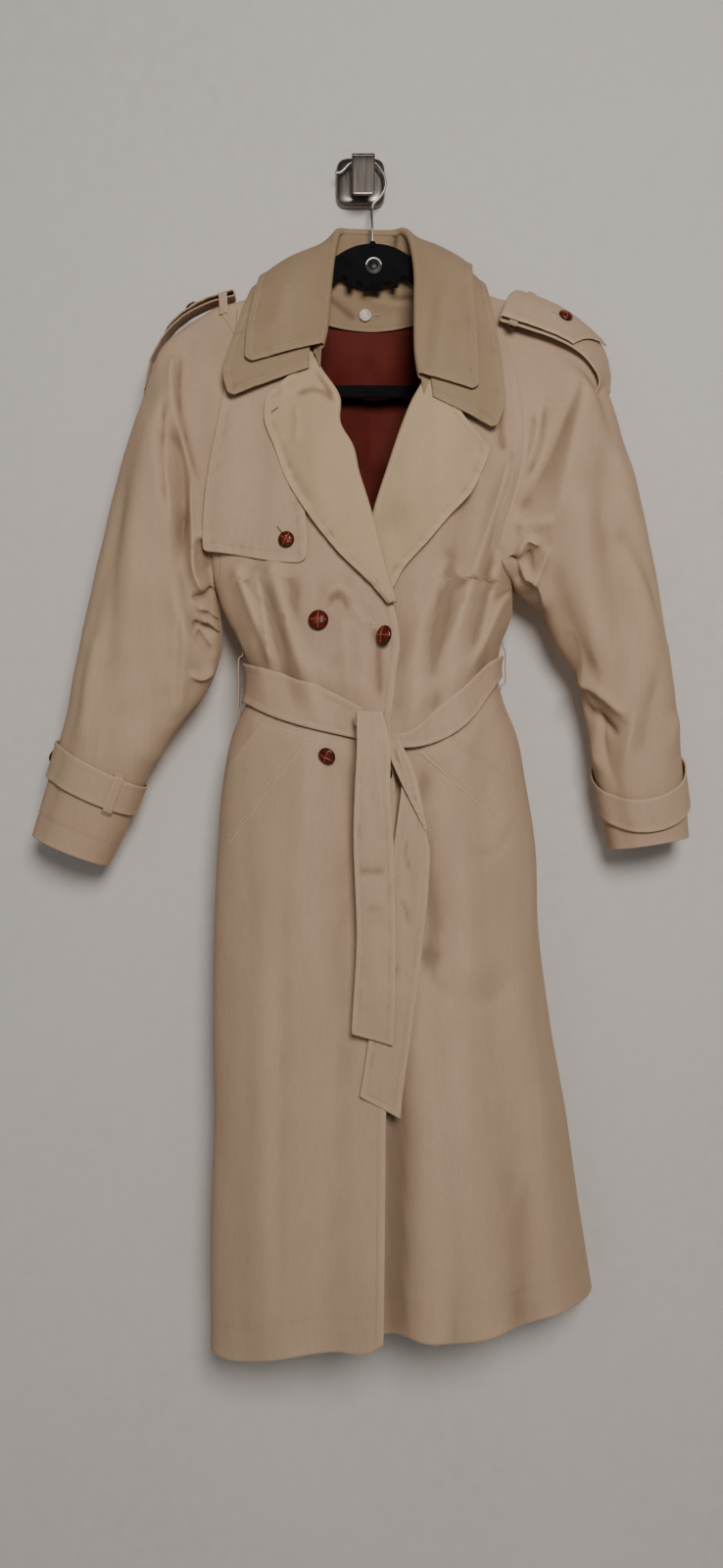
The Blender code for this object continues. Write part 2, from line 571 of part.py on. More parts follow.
def makeLapel(name, isRight, cloth):
    # Stations run down the roll; columns run round the roll's curl and out to the edge
    top, end = (lapelRightTop, lapelRightEnd) if isRight else (lapelLeftTop, lapelLeftEnd)
    table = lapelRightRows if isRight else lapelLeftRows
    depthOf = frontDepth if isRight else leftDepth
    toOpening = 1.0 if isRight else -1.0
    t = np.linspace(0, 1, 13)[:, None]
    rollZ = top + (end - top) * t
    rollX = readDown(rollZ, edgeRightRows if isRight else edgeLeftRows)
    edge = [smoothRead(t, [row[0] for row in table], [row[k] for row in table]) for k in (1, 2)]
    s = np.array((0, 0.12, 0.4, 0.7, 1.0))
    x = rollX + (edge[0] - rollX) * s
    z = rollZ + (edge[1] - rollZ) * s
    lift = lapelLift + (lapelEdgeLift - lapelLift) * s + 1.6 * np.sin(np.pi * s)
    flat = np.stack([x, z, depthOf(x, z) + lift], -1)
    radius = (lapelLift - 1.0) / 2
    curl = np.radians((180, 135, 90, 45))
    curlX = rollX + toOpening * radius * np.sin(curl)
    curlZ = rollZ + 0 * curl
    curlD = depthOf(rollX, rollZ) + lapelLift - radius * (1 - np.cos(curl))
    return makeWall(name, np.concatenate([np.stack([curlX, curlZ, curlD], -1), flat], 1), cloth)


def collarBase(station, t):
    # A bow from the roll to the under leaf's edge: (1-t)^2 R + 2t(1-t) C + t^2 E
    r = readRows(station, collarRows)
    roll, edge = r[..., 0:3], r[..., 3:6]
    step = 0.05
    after = readRows(station + step, collarRows)
    before = readRows(station - step, collarRows)
    run = (after - before)[..., 0:3] + (after - before)[..., 3:6]
    out = unit(np.cross(run, edge - roll))
    outward = (roll + edge) / 2 - np.array((neckCentre, -200, 45))
    out = np.where(np.sum(out * outward, -1, keepdims=True) < 0, -out, out)
    control = (roll + edge) / 2 + 2 * r[..., 7:8] * out
    t = t[..., None]
    return (1 - t) ** 2 * roll + 2 * t * (1 - t) * control + t ** 2 * edge


def collarStations(first, last):
    return np.linspace(first, last, collarStationCount)[:, None]


def makeCollarLeaf(name, upper, cloth):
    last = len(collarRows) - 1
    station = collarStations(1, last - 1) if upper else collarStations(0, last)
    share = readRows(station[:, 0], collarRows)[:, 6:7] if upper else 1.0
    t = np.array((0.0, 0.12, 0.3, 0.52, 0.76, 1.0)) if upper else np.array((0.1, 0.28, 0.5, 0.75, 1.0))
    base = collarBase(station + 0 * t, t * share)
    lift = collarUpperLift if upper else 0.0
    normals = gridNormals(base)
    if normals[collarStationCount // 2, 2, 2] > 0:
        normals = -normals
    return makeWall(name, base + lift * normals, cloth, facing=(0, 0, -1))


def makeFacing(cloth):
    station = collarStations(0, len(collarRows) - 1)
    bottom = readRows(station, facingRows)[:, 0]
    roll = readRows(station, collarRows)[:, 0, 0:3]
    inward = np.stack([neckCentre - roll[:, 0], 0 * roll[:, 0], 46 - roll[:, 2]], -1)
    top = roll + 3.5 * unit(inward) + np.array((0, -1.2, 0))
    s = np.array((0, 0.3, 0.65, 1.0))[None, :, None]
    grid = top[:, None] * (1 - s) + bottom[:, None] * s
    return makeWall("neck_facing", grid, cloth)


def sleevePoint(rows, folds, angle, v, lift):
    # A bowed oval from the outer edge (0 degrees) over the front (90) to the inner edge (180)
    angle, v, lift = np.broadcast_arrays(np.asarray(angle, float), np.asarray(v, float), np.asarray(lift, float))
    r = readRows(v * (len(rows) - 1), rows)
    c = np.cos(np.radians(angle))
    s = np.sin(np.radians(angle))
    halfX = (r[..., 0] - r[..., 2]) / 2
    halfZ = (r[..., 1] - r[..., 3]) / 2
    x = (r[..., 0] + r[..., 2]) / 2 + halfX * c
    z = (r[..., 1] + r[..., 3]) / 2 + halfZ * c
    d = (r[..., 4] + r[..., 5]) / 2 + (r[..., 4] - r[..., 5]) / 2 * np.sign(s) * np.abs(s) ** 0.9
    start = rows[0]
    seamZ = (start[1] + start[3]) / 2 + (start[1] - start[3]) / 2 * c
    seamD = np.where(s >= 0, frontDepth(start[0], seamZ), backDepth(start[0], seamZ))
    hold = 1 - ease(v * (len(rows) - 1) / 3)
    d = d + (seamD - d) * hold
    size = np.hypot(halfX, halfZ)
    out = np.stack([halfX / size * c, halfZ / size * c, s], -1)
    push = np.zeros_like(v)
    for middle, turn, first, last, width, height in folds:
        along = (v - first) / (last - first)
        fade = ease(along / 0.25) * ease((1 - along) / 0.25)
        push += height * fade * np.exp(-((angle - middle - turn * along) / width) ** 2)
    return np.stack([x, z, d], -1) + (push * (1 - hold) + lift)[..., None] * out


def makeSleeve(name, rows, folds, cloth):
    angle = np.arange(20)[:, None] * 18.0
    v = np.linspace(0, 1, 16)[None, :]
    makeWall(name, sleevePoint(rows, folds, angle, v, 0.0), cloth, closed=True)


def strapLift(strap, angle):
    # Outer face of the strap above the sleeve; its end passes over its start
    over = ease((angle - strap["from"] - cuffLapStart) / cuffLapRise)
    slack = strap["slack"] * (1 + np.sin(np.radians(angle))) / 2
    return (cuffWall + layerGap) * (1 + over) + slack


def makeCuffStrap(side, rows, folds, strap, cloth, leather):
    # A strap once round the sleeve whose pointed end laps over its start
    angle = np.linspace(strap["from"], strap["from"] + strap["turn"], 33)[:, None]
    point = ease((angle - strap["from"] - strap["turn"] + cuffPointRun) / cuffPointRun)
    across = np.array((-1.0, 0.0, 1.0))[None, :]
    middle = strap["middle"] + strap["dip"] * np.sin(np.radians(angle))
    v = middle + across * strap["halfWidth"] * (1 - cuffPointTaper * point)
    grid = sleevePoint(rows, folds, angle, v, strapLift(strap, angle))
    under = sleevePoint(rows, folds, angle, v, 0.0)
    makeWall("cuff_strap_" + side, grid, cloth, cuffWall, facing=(grid - under)[16, 1])
    turn = strap["loopAngle"]
    near = cuffWall * 0.5 + layerGap + loopWall
    far = strapLift(strap, turn) + layerGap + loopWall
    v = strap["middle"] + strap["dip"] * np.sin(np.radians(turn))
    v = v + strap["halfWidth"] * np.array(cuffLoopShares)
    path = sleevePoint(rows, folds, turn, v, np.array((near, near + 0.6, far, far, far, near + 0.6, near)))
    along = sleevePoint(rows, folds, turn + 3, v[3], far) - sleevePoint(rows, folds, turn - 3, v[3], far)
    out = path[3] - sleevePoint(rows, folds, turn, v[3], 0.0)
    makeBand("cuff_loop_" + side, path, 4.5, along, loopWall, cloth, facing=out)
    turn = strap["buttonAngle"]
    v = strap["middle"] + strap["dip"] * np.sin(np.radians(turn))
    lift = strapLift(strap, turn) + 0.9
    seat = sleevePoint(rows, folds, turn, v, lift)
    axis = sleevePoint(rows, folds, turn, v, lift + 1) - seat
    makeTurned("button_cuff_" + side, seat, axis, buttonShape(strapButtonRadius), leather)


def makeOnFront(name, grid, lift, cloth, thickness, depthOf=frontDepth):
    return makeWall(name, onFront(grid[..., 0], grid[..., 1], lift, depthOf), cloth, thickness)


def makeFlap(cloth):
    share = np.linspace(0, 1, 9)[:, None]
    level = np.linspace(0, 1, 12)[None, :]
    z = flapLevels[0] + (flapLevels[1] - flapLevels[0]) * level + 0 * share
    for _ in range(3):
        x = readDown(z, flapLeftRows) * (1 - share) + readDown(z, flapRightRows) * share
        top = shoulderZ(x) - flapTopGap - flapTopSlope * ease((flapTopTurn - x) / flapTopSlope)
        z = top + (readAcross(x, flapBottomRows) - top) * level
    makeOnFront("storm_flap", np.stack([x, z], -1), flapLift, cloth, clothWall)


def makeWelt(name, corners, cloth):
    a, b, c, d = (np.array(corner, float) for corner in corners)
    s = np.linspace(0, 1, 7)[:, None, None]
    t = np.linspace(0, 1, 5)[None, :, None]
    grid = (a * (1 - s) + b * s) * (1 - t) + (d * (1 - s) + c * s) * t
    makeOnFront(name, grid, 1.4 + layerGap, cloth, 1.4)


def readBelt(u, rows, place):
    return smoothRead(u, [row[0] for row in rows], [row[place] for row in rows])


def beltPoint(u, zTop, zBottom, across, lift, depthOf):
    # Along the torso's ring, u from -1 at the wearer's right side to 1 at the left one
    z = zTop + (zBottom - zTop) * across
    t = torsoAt(z)
    x = (t["left"] + t["right"]) / 2 + (t["right"] - t["left"]) / 2 * u
    base = np.stack([x, z, depthOf(x, z)], -1)
    normals = gridNormals(base)
    middle = normals[normals.shape[0] // 2, 0, 2]
    normals = normals * (1 if (middle > 0) == (depthOf is frontDepth) else -1)
    for end in (0, -1):
        if abs(u[end, 0]) == 1:
            normals[end] = (u[end, 0], 0, 0)
    return base + lift * normals


def makeBelt(cloth):
    across = np.linspace(0, 1, 4)[None, :]
    for name, rows in (("belt_front_right", beltRightRows), ("belt_front_left", beltLeftRows)):
        first, last = np.arccos(-rows[0][0]), np.arccos(-rows[-1][0])
        u = -np.cos(np.linspace(first, last, 13))[:, None]
        zTop, zBottom = (readBelt(u, rows, k) for k in (1, 2))
        grid = beltPoint(u, zTop, zBottom, across, beltLift, frontDepth)
        grid[0 if rows is beltRightRows else -1, :, 2] += seamHalfGap
        makeWall(name, grid, cloth, beltWall)
    u = -np.cos(np.linspace(0, np.pi, 17))[:, None]
    zTop, zBottom = (readBelt(u, beltBackRows, k) for k in (1, 2))
    grid = beltPoint(u, zTop, zBottom, across, beltLift, backDepth)
    grid[(0, -1), :, 2] -= seamHalfGap
    makeWall("belt_back", grid, cloth, beltWall, facing=(0, 0, -1))
    for name, rows in (("belt_tail_top", tailTopRows), ("belt_tail_under", tailUnderRows)):
        table = np.asarray(rows, float)[None]
        s = np.linspace(0, 1, 4)[:, None]
        x = table[..., 1] * (1 - s) + table[..., 2] * s
        makeWall(name, np.stack([x, table[..., 0] + 0 * s, table[..., 3] + 0 * s], -1), cloth, tailWall)
    makeKnot(cloth)


def makeKnot(cloth):
    # A squared oval loop of the belt round the crossing
    left, right, top, bottom = knotBox
    turn = 2 * np.pi * np.arange(16) / 16
    c, s = np.cos(turn), np.sin(turn)
    square = np.stack([np.sign(c) * np.abs(c) ** 0.7, np.sign(s) * np.abs(s) ** 0.7], -1)
    middle = np.array([(left + right) / 2, (top + bottom) / 2])
    half = np.array([(right - left) / 2, (top - bottom) / 2])
    rings = []
    for d, size in knotRings:
        flat = middle + half * size * square
        rings.append(np.concatenate([flat, np.full((16, 1), d)], 1))
    makeStack("belt_knot", rings, cloth)


def makeBand(name, path, halfWidth, widthAxis, thickness, cloth, closed=False, facing=(0, 0, 1)):
    # A narrow band carried along a path of (x, z, d) points
    path = np.asarray(path, float)
    side = np.array((-1.0, 1.0))[None, :, None] * halfWidth * unit(np.asarray(widthAxis, float))
    return makeWall(name, path[:, None] + side, cloth, thickness, closed=closed, facing=facing)


def makeBeltLoops(cloth, thread):
    # A cloth loop over the belt at the right side, a thread loop at the left one
    for name, side, sign, loop, material in (("belt_loop_right", "left", -1.0, beltLoopRight, cloth),
                                             ("belt_loop_left", "right", 1.0, beltLoopLeft, thread)):
        z = np.array(loop["levels"], float)
        coat = torsoAt(z)[side]
        far = (sign * coat[2:5]).max() + beltLift + layerGap + loop["wall"]
        near = sign * coat + layerGap + loop["wall"]
        foot = (z == z[1]) | (z == z[5])
        x = sign * np.where((z < z[1]) & (z > z[5]), far, near + np.where(foot, loopFootRise, 0.0))
        path = np.stack([x, z, np.full(len(z), loop["depth"])], -1)
        makeBand(name, path, loop["half"], (0, 0, 1), loop["wall"], material, facing=(sign, 0, 0))


def epauletteGrid(rows, tab, stations):
    # Under layer from the sleeve head to the neck, a turn, then the upper layer back to its point
    last = len(rows) - 1
    s = np.array((0.0, 0.34, 0.67, 1.0))
    lower = np.linspace(0, last, stations)[:, None] + 0 * s
    ends = tab["frontEnd"] + (tab["backEnd"] - tab["frontEnd"]) * s
    back = np.linspace(0, 1, stations - 2)[:, None]
    upper = last + (ends - last) * back
    r = readRows(np.concatenate([lower, upper]), rows)
    front, rear = r[..., 0:3], r[..., 3:6]
    base = front + (rear - front) * s[:, None]
    base[..., 1] += r[..., 6] * np.sin(np.pi * s)
    run = np.gradient(base[:stations], axis=0)
    normal = np.cross(run, (rear - front)[:stations])
    normal = unit(np.where(normal[..., 1:2] < 0, -normal, normal))
    place = np.clip(np.round(upper / last * (stations - 1)).astype(int), 0, stations - 1)
    lift = tab["nearLift"] + (tab["farLift"] - tab["nearLift"]) * back
    base[stations:] += lift[..., None] * np.take_along_axis(normal, place[..., None], 0)
    turn = base[stations - 1:stations] * 0.5 + base[stations:stations + 1] * 0.5
    turn = turn + unit(run[-1:]) * tab["nearLift"] * 0.45
    return np.concatenate([base[:stations], turn, base[stations:]]), normal


def makeEpaulette(side, rows, tab, cloth, leather):
    stations = 10
    grid, normal = epauletteGrid(rows, tab, stations)
    toNeck = unit(grid[stations - 1, 2] - grid[stations - 2, 2])
    makeWall("epaulette_" + side, grid, cloth, epauletteWall, facing=toNeck - normal[-1, 2])
    # The carrier loop passes between the two layers and down to the shoulder
    r = readRows(np.array([len(rows) - 1 - tab["loopBack"]]), rows)[0]
    across = np.array((-0.12, -0.04, 0.34, 0.67, tab["rim"], tab["rim"] + 0.08))[:, None]
    bridge = r[0:3] + (r[3:6] - r[0:3]) * across + (tab["nearLift"] + loopWall) / 2 * unit(normal[-1].mean(0))
    bridge[:, 1] += r[6] * np.sin(np.pi * np.clip(across[:, 0], 0, 1))
    lift = 2 * layerGap + loopWall
    front = onFront(r[0], shoulderZ(r[0]) - np.array(tab["fall"]), lift)
    rear = onFront(r[3], shoulderZ(r[3]) - np.array((14.0, 22.0)), layerGap - lift, backDepth)
    path = np.concatenate([front, bridge, rear])
    along = unit(normal[-1].mean(0))
    along = np.cross(along, r[3:6] - r[0:3])
    makeBand("epaulette_loop_" + side, path, 4.0, along, loopWall, cloth, facing=(0, 1, 0))
    spot = stations + 1 + tab["buttonStation"]
    seat = grid[spot, 1:3].mean(0)
    axis = gridNormals(grid)[spot, 1:3].mean(0)
    axis = unit(axis if axis[1] > 0 else -axis)
    makeTurned("button_epaulette_" + side, seat + 0.5 * axis, axis, buttonShape(strapButtonRadius), leather)


def makeHanger(plush, steel, dark):
    half = np.asarray(hangerRows, float)
    outline = np.concatenate([half, half[-2:0:-1] * (-1, 1, -1, 1)])
    ring = np.stack([outline[:, 0] + neckCentre, outline[:, 1], outline[:, 2] + neckCentre, outline[:, 3]], -1)
    near = hangerDepth + hangerThickness / 2
    far = hangerDepth - hangerThickness / 2
    count = len(ring)
    fill = np.ones((count, 1))
    points = [np.concatenate([ring[:, k:k + 2], fill * d], 1) for k, d in ((0, far), (0, near), (2, near), (2, far))]
    faces = []
    for i in range(count):
        n = (i + 1) % count
        for k in range(4):
            a = k * count
            b = (k + 1) % 4 * count
            faces.append((a + i, a + n, b + n, b + i))
    makeObject("hanger_body", np.concatenate(points), faces, plush)
    makeTurned("hanger_badge", badgePlace, (0, 0, 1), badgeRows, dark, 20)
    curve = bpy.data.curves.new("hanger_hook", "CURVE")
    curve.dimensions = "3D"
    curve.bevel_depth = wireRadius * metresPerMm
    curve.bevel_resolution = 1
    curve.use_fill_caps = True
    line = curve.splines.new("POLY")
    at = np.linspace(0, len(hookWire) - 1, 38)
    route = readRows(at, hookWire)
    sink = wireDepth + (hangerDepth - wireDepth) * ease((wireTurnZ - route[:, 1]) / wireTurnRun)
    line.points.add(len(at) - 1)
    for point, place, depth in zip(line.points, route, sink):
        point.co = (place[0] * metresPerMm, -depth * metresPerMm, place[1] * metresPerMm, 1)
    item = bpy.data.objects.new("hanger_hook", curve)
    bpy.context.scene.collection.objects.link(item)
    curve.materials.append(steel)


def makeHook(steel):
    turn = 2 * np.pi * np.arange(36) / 36
    c, s = np.cos(turn), np.sin(turn)
    square = np.stack([np.sign(c) * np.abs(c) ** plateSquare, np.sign(s) * np.abs(s) ** plateSquare], -1)
    rings = [np.concatenate([plateHalf * size * square, np.full((36, 1), d)], 1) for d, size in plateRows]
    makeStack("hook_plate", rings, steel)
    path = np.asarray(strapPath, float)
    points = np.stack([np.full(len(path), strapCentre), path[:, 1], path[:, 0]], -1)
    up = np.cross(unit(np.gradient(points, axis=0)), (1.0, 0, 0))
    up = np.where(up[0, 1] < 0, -up, up)
    makeBand("hook_strap", points + up * strapWall / 2, strapHalf, (1, 0, 0), strapWall, steel)


def makeButtons(leather, clear):
    spots = [(f"button_front_{k + 1}", x, z, r, 0.5) for k, (x, z, r) in enumerate(frontButtons)]
    spots.append(("button_storm_flap", *flapButton, flapLift + 0.5))
    for name, x, z, radius, gap in spots:
        seat = onFront(x, z, gap)
        makeTurned(name, seat, onFront(x, z, gap + 1) - seat, buttonShape(radius), leather)
    makeTurned("button_neck", neckButtonPlace, (0, 0.02, 1), neckButtonRows, clear)


def main():
    clearScene()
    cloth = makeMaterial("gabardine", beige, 0.85)
    inside = makeMaterial("lining", rust, 0.6)
    leather = makeMaterial("button_leather", (0.16, 0.028, 0.010), 0.22)
    steel = makeMaterial("steel", (0.55, 0.54, 0.52), 0.3, 1.0)
    plush = makeMaterial("black_flock", (0.008, 0.008, 0.009), 0.95)
    clear = makeMaterial("clear_plastic", (0.75, 0.70, 0.62), 0.2)
    makeBack(cloth, inside)
    makeFront("front_right", True, 12, cloth)
    makeFront("front_left", False, 13, cloth)
    makeLapel("lapel_right", True, cloth)
    makeLapel("lapel_left", False, cloth)
    makeCollarLeaf("collar_under", False, cloth)
    makeCollarLeaf("collar_upper", True, cloth)
    makeFacing(cloth)
    makeSleeve("sleeve_right", sleeveRightRows, sleeveRightFolds, cloth)
    makeSleeve("sleeve_left", sleeveLeftRows, sleeveLeftFolds, cloth)
    makeCuffStrap("right", sleeveRightRows, sleeveRightFolds, cuffRight, cloth, leather)
    makeCuffStrap("left", sleeveLeftRows, sleeveLeftFolds, cuffLeft, cloth, leather)
    makeFlap(cloth)
    makeWelt("pocket_welt_right", weltRight, cloth)
    makeWelt("pocket_welt_left", weltLeft, cloth)
    makeBelt(cloth)
    makeBeltLoops(cloth, cloth)
    makeEpaulette("right", epauletteRightRows, tabRight, cloth, leather)
    makeEpaulette("left", epauletteLeftRows, tabLeft, cloth, leather)
    makeButtons(leather, clear)
    makeHanger(plush, steel, plush)
    makeHook(steel)


main()
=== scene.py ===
import bpy
import numpy as np
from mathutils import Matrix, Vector


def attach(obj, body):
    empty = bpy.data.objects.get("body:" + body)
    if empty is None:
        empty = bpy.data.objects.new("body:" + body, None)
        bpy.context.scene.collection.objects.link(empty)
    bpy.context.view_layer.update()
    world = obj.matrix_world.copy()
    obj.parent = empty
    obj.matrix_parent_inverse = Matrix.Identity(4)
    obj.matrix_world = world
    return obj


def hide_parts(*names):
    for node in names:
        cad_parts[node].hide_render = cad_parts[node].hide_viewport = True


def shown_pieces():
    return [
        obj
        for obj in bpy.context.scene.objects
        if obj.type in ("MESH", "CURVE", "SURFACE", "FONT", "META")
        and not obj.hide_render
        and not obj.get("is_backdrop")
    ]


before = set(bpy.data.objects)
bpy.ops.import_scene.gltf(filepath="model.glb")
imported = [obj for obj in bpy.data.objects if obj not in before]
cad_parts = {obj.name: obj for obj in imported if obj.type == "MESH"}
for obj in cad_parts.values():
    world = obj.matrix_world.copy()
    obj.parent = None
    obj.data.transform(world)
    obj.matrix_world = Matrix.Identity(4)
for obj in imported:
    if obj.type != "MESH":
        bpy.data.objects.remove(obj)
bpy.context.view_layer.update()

# Sizes are in millimetres: x to the right, z up, d the depth in front of the wall.
# The origin is the middle of the hook plate's back.
mm = 0.001
coat = {
    "neckCentre": 13.0, "neckHalf": 58.0, "armholeRight": -149.0, "armholeLeft": 157.0, "underarm": -440.0,
    "cloth": 1.7, "seamGap": 0.12, "ridgeNear": 38.0, "ridgeFar": 44.0, "ridgeRound": 8.0,
    "frontFall": 130.0, "backFall": 58.0, "backNeckDrop": 18.0, "creaseGain": 1.6,
}

# z, left, right, side depth left and right, front, back, fullness left and right
torsoRows = (
    (-60, -195, 212, 44, 44, 82, 12.5, 2.4, 2.4), (-150, -195, 212, 44, 44, 86, 12.5, 2.4, 2.4),
    (-220, -195, 212, 45, 45, 92, 8.5, 2.4, 2.4), (-300, -192, 208, 48, 46, 99, 6.5, 2.4, 2.4),
    (-370, -180, 192, 54, 48, 104, 6.5, 2.3, 2.3), (-415, -160, 170, 58, 48, 107, 6.5, 2.2, 2.2),
    (-440, -149, 157, 60, 48, 109, 6.5, 2.2, 2.1), (-470, -138, 155, 60, 48, 110, 6.5, 2.2, 2.0),
    (-500, -122, 144, 59, 49, 111, 7.0, 2.2, 2.0), (-530, -113, 141, 59, 50, 112, 8.5, 2.2, 1.9),
    (-555, -115, 146, 60, 50, 114, 8.5, 2.2, 1.8), (-590, -130, 160, 60, 49, 117, 7.0, 2.2, 1.7),
    (-640, -140, 170, 60, 47, 117, 6.5, 2.2, 1.7), (-700, -145, 180, 60, 44, 118, 6.5, 2.2, 1.6),
    (-790, -149, 184, 60, 40, 122, 6.5, 2.2, 1.6), (-890, -150, 197, 60, 38, 126, 6.5, 2.2, 1.6),
    (-980, -149, 213, 60, 36, 130, 6.5, 2.2, 1.6), (-1070, -152, 226, 61, 34, 133, 6.5, 2.2, 1.6),
    (-1215, -152, 249, 64, 30, 134, 6.5, 2.2, 1.6),
)
torsoNames = ("z", "left", "right", "sideLeft", "sideRight", "front", "back", "fullLeft", "fullRight")
shoulderRows = ((0, -78), (40, -86), (58, -96), (79, -111), (102, -127), (126, -138), (144, -144), (170, -151))
hemRows = ((-160, -1214), (-118, -1210), (-63, -1195), (-25, -1189), (8, -1187), (20, -1180),
           (61, -1180), (100, -1180), (130, -1176), (161, -1172), (194, -1168), (217, -1166), (250, -1163))
backHemRows = ((-160, -1214), (-60, -1200), (50, -1188), (150, -1177), (250, -1163))
edgeRightRows = ((-80, -54), (-205, -54), (-228, -43), (-260, -24), (-287, -23), (-309, -11), (-335, -5), (-364, 4),
                 (-393, 12), (-432, 22), (-470, 33), (-503, 38), (-536, 34), (-604, 29), (-642, 33),
                 (-737, 32), (-831, 28), (-963, 24), (-1065, 23), (-1230, 21))
edgeLeftRows = ((-80, 80), (-215, 80), (-246, 63), (-259, 56), (-289, 44), (-334, 29), (-367, 18), (-417, 3),
                (-480, -22), (-560, -44), (-1230, -48))
armholeRightRows = ((-140, -149), (-152, -147), (-176, -133), (-206, -122), (-262, -132), (-332, -144),
                    (-390, -149),
                    (-440, -149))
armholeLeftRows = ((-140, 157), (-158, 151), (-180, 146), (-204, 151), (-225, 157), (-250, 161), (-284, 163),
                   (-322, 160), (-360, 150), (-392, 140), (-412, 138), (-430, 147), (-440, 157))
beltMiddleRows = ((-115, -539), (-65, -559), (-34, -570), (3, -583), (25, -599), (40, -599), (68, -586),
                  (102, -562), (125, -538), (147, -521))

# Creases: a line through three points (x, z), its width at both ends, its height
# (a trough below zero) and its skew, above zero where the steep side is on the left.
frontRight = {
    "columns": 74, "levels": 320, "cut": (0.22, 1.12, 0.196),
    "folds": ((-62, -600, -78, -1330, 20, 5), (-108, -650, -112, -1330, 14, -4), (-20, -650, -30, -1330, 22, -4),
              (-122, -440, -88, -570, 9, 5), (-100, -430, -60, -580, 9, -4), (-84, -430, -36, -590, 8, 4)),
    "creases": (
        (-128, -423, -112, -461, -78, -550, 5, 8, 5, 0.6), (-107, -428, -96, -474, -86, -560, 5, 6, 4, 0.5),
        (-91, -418, -79, -464, -44, -575, 8, 10, 6, 0.65), (-39, -468, -22, -448, -4, -470, 5, 6, 4, -0.5),
        (-11, -464, 0, -476, 9, -487, 4, 4, 2.5, -0.4), (-34, -470, -22, -458, -8, -476, 3, 3.5, -2.5, 0),
        (-16, -477, -14, -512, -13, -572, 7, 8, 2.5, 0), (12, -489, 17, -517, 18, -580, 5, 6, -2.5, 0),
        (-61, -435, -64, -488, -38, -580, 8, 9, -3, 0), (-128, -488, -120, -509, -106, -540, 4, 5, 3, 0.3),
        (-53, -580, -59, -676, -72, -790, 13, 18, 2.6, -0.3), (-64, -600, -72, -900, -75, -1290, 17, 27, -4.6, 0.4),
        (-35, -620, -39, -882, -43, -1300, 24, 32, 4.0, 0), (-100, -620, -104, -892, -107, -1300, 22, 30, 3.6, 0),
        (-16, -620, -14, -834, -10, -1300, 18, 24, -1.7, 0), (-129, -660, -131, -911, -133, -1300, 14, 16, -1.7, 0),
        (5, -860, 10, -1026, 9, -1300, 14, 18, 1.2, 0)),
}
frontLeft = {
    "columns": 80, "levels": 320, "cut": (0.345, 1.135, 0.256),
    "folds": ((120, -300, 96, -560, 12, 5), (142, -330, 118, -560, 9, -5), (84, -430, 72, -580, 9, -4),
              (60, -450, 52, -600, 9, 4), (58, -650, 100, -1330, 20, -6), (92, -640, 142, -1330, 22, 7),
              (138, -680, 196, -1330, 18, -5)),
    "creases": (
        (149, -311, 126, -393, 64, -566, 8, 12, 6, 0.5), (141, -403, 132, -451, 100, -568, 6, 9, 5, 0.5),
        (161, -449, 136, -473, 106, -560, 4, 8, 5, 0.6), (157, -440, 143, -449, 122, -470, 4, 5, -1.5, 0),
        (109, -334, 92, -411, 38, -570, 12, 14, -5, 0), (143, -252, 140, -286, 144, -313, 5, 6, -4, 0),
        (88, -411, 67, -469, 34, -570, 9, 11, 4, 0.3), (58, -590, 64, -700, 80, -850, 14, 24, -2.6, 0),
        (30, -740, 96, -848, 176, -800, 15, 15, -1.8, 0.3), (30, -716, 98, -818, 176, -772, 18, 18, 2.2, 0),
        (108, -701, 134, -708, 158, -674, 8, 8, -1.1, 0), (66, -810, 77, -941, 104, -1300, 19, 28, 4.2, 0.2),
        (44, -738, 50, -931, 56, -1300, 18, 24, 2.6, 0), (104, -800, 133, -1008, 166, -1300, 22, 30, -4.4, 0),
        (144, -790, 175, -979, 206, -1300, 20, 28, 4.0, 0), (172, -820, 203, -979, 230, -1300, 14, 18, -1.8, 0)),
}
back = {
    "columns": 100, "levels": 290, "cut": (0.445, 1.115, 0.391),
    "folds": ((-90, -600, -100, -1330, 26, 9), (-10, -600, -20, -1330, 30, 11), (80, -600, 110, -1330, 28, 10),
              (-60, -330, -40, -560, 20, 5), (70, -330, 60, -560, 20, 5)),
    "creases": (
        (-96, -420, -82, -480, -70, -540, 7, 9, 5, 0), (-58, -380, -52, -460, -44, -540, 8, 10, 4, 0),
        (-20, -440, -16, -490, -14, -545, 6, 8, 5, 0), (22, -400, 24, -470, 20, -545, 7, 9, 4, 0),
        (60, -430, 56, -485, 50, -545, 6, 8, 5, 0), (104, -400, 96, -460, 84, -530, 8, 10, 5, 0),
        (-112, -250, -60, -230, 20, -240, 14, 18, 3, 0), (130, -250, 80, -228, 20, -236, 14, 18, 3, 0),
        (-60, -590, -64, -760, -62, -1240, 12, 22, 6, 0.3), (38, -590, 40, -800, 46, -1240, 12, 22, 7, -0.3),
        (-116, -600, -120, -800, -124, -1240, 9, 14, 5, 0), (128, -600, 150, -850, 172, -1240, 11, 18, 6, 0)),
}


def smoothRead(at, knots, values):
    # A cubic through the knots; each slope comes from the knot's two neighbours
    knots, values = np.asarray(knots, float), np.asarray(values, float)
    slopes = np.gradient(values, knots)
    at = np.clip(at, knots[0], knots[-1])
    k = np.clip(np.searchsorted(knots, at, side="right") - 1, 0, len(knots) - 2)
    span = knots[k + 1] - knots[k]
    t = (at - knots[k]) / span
    rise = values[k + 1] - values[k]
    first, last = slopes[k] * span, slopes[k + 1] * span
    return values[k] + first * t + (3 * rise - 2 * first - last) * t ** 2 + (first + last - 2 * rise) * t ** 3


def readDown(z, rows, place=1):
    return smoothRead(-np.asarray(z, float), [-row[0] for row in rows], [row[place] for row in rows])


def readAcross(x, rows, place=1):
    return smoothRead(np.asarray(x, float), [row[0] for row in rows], [row[place] for row in rows])


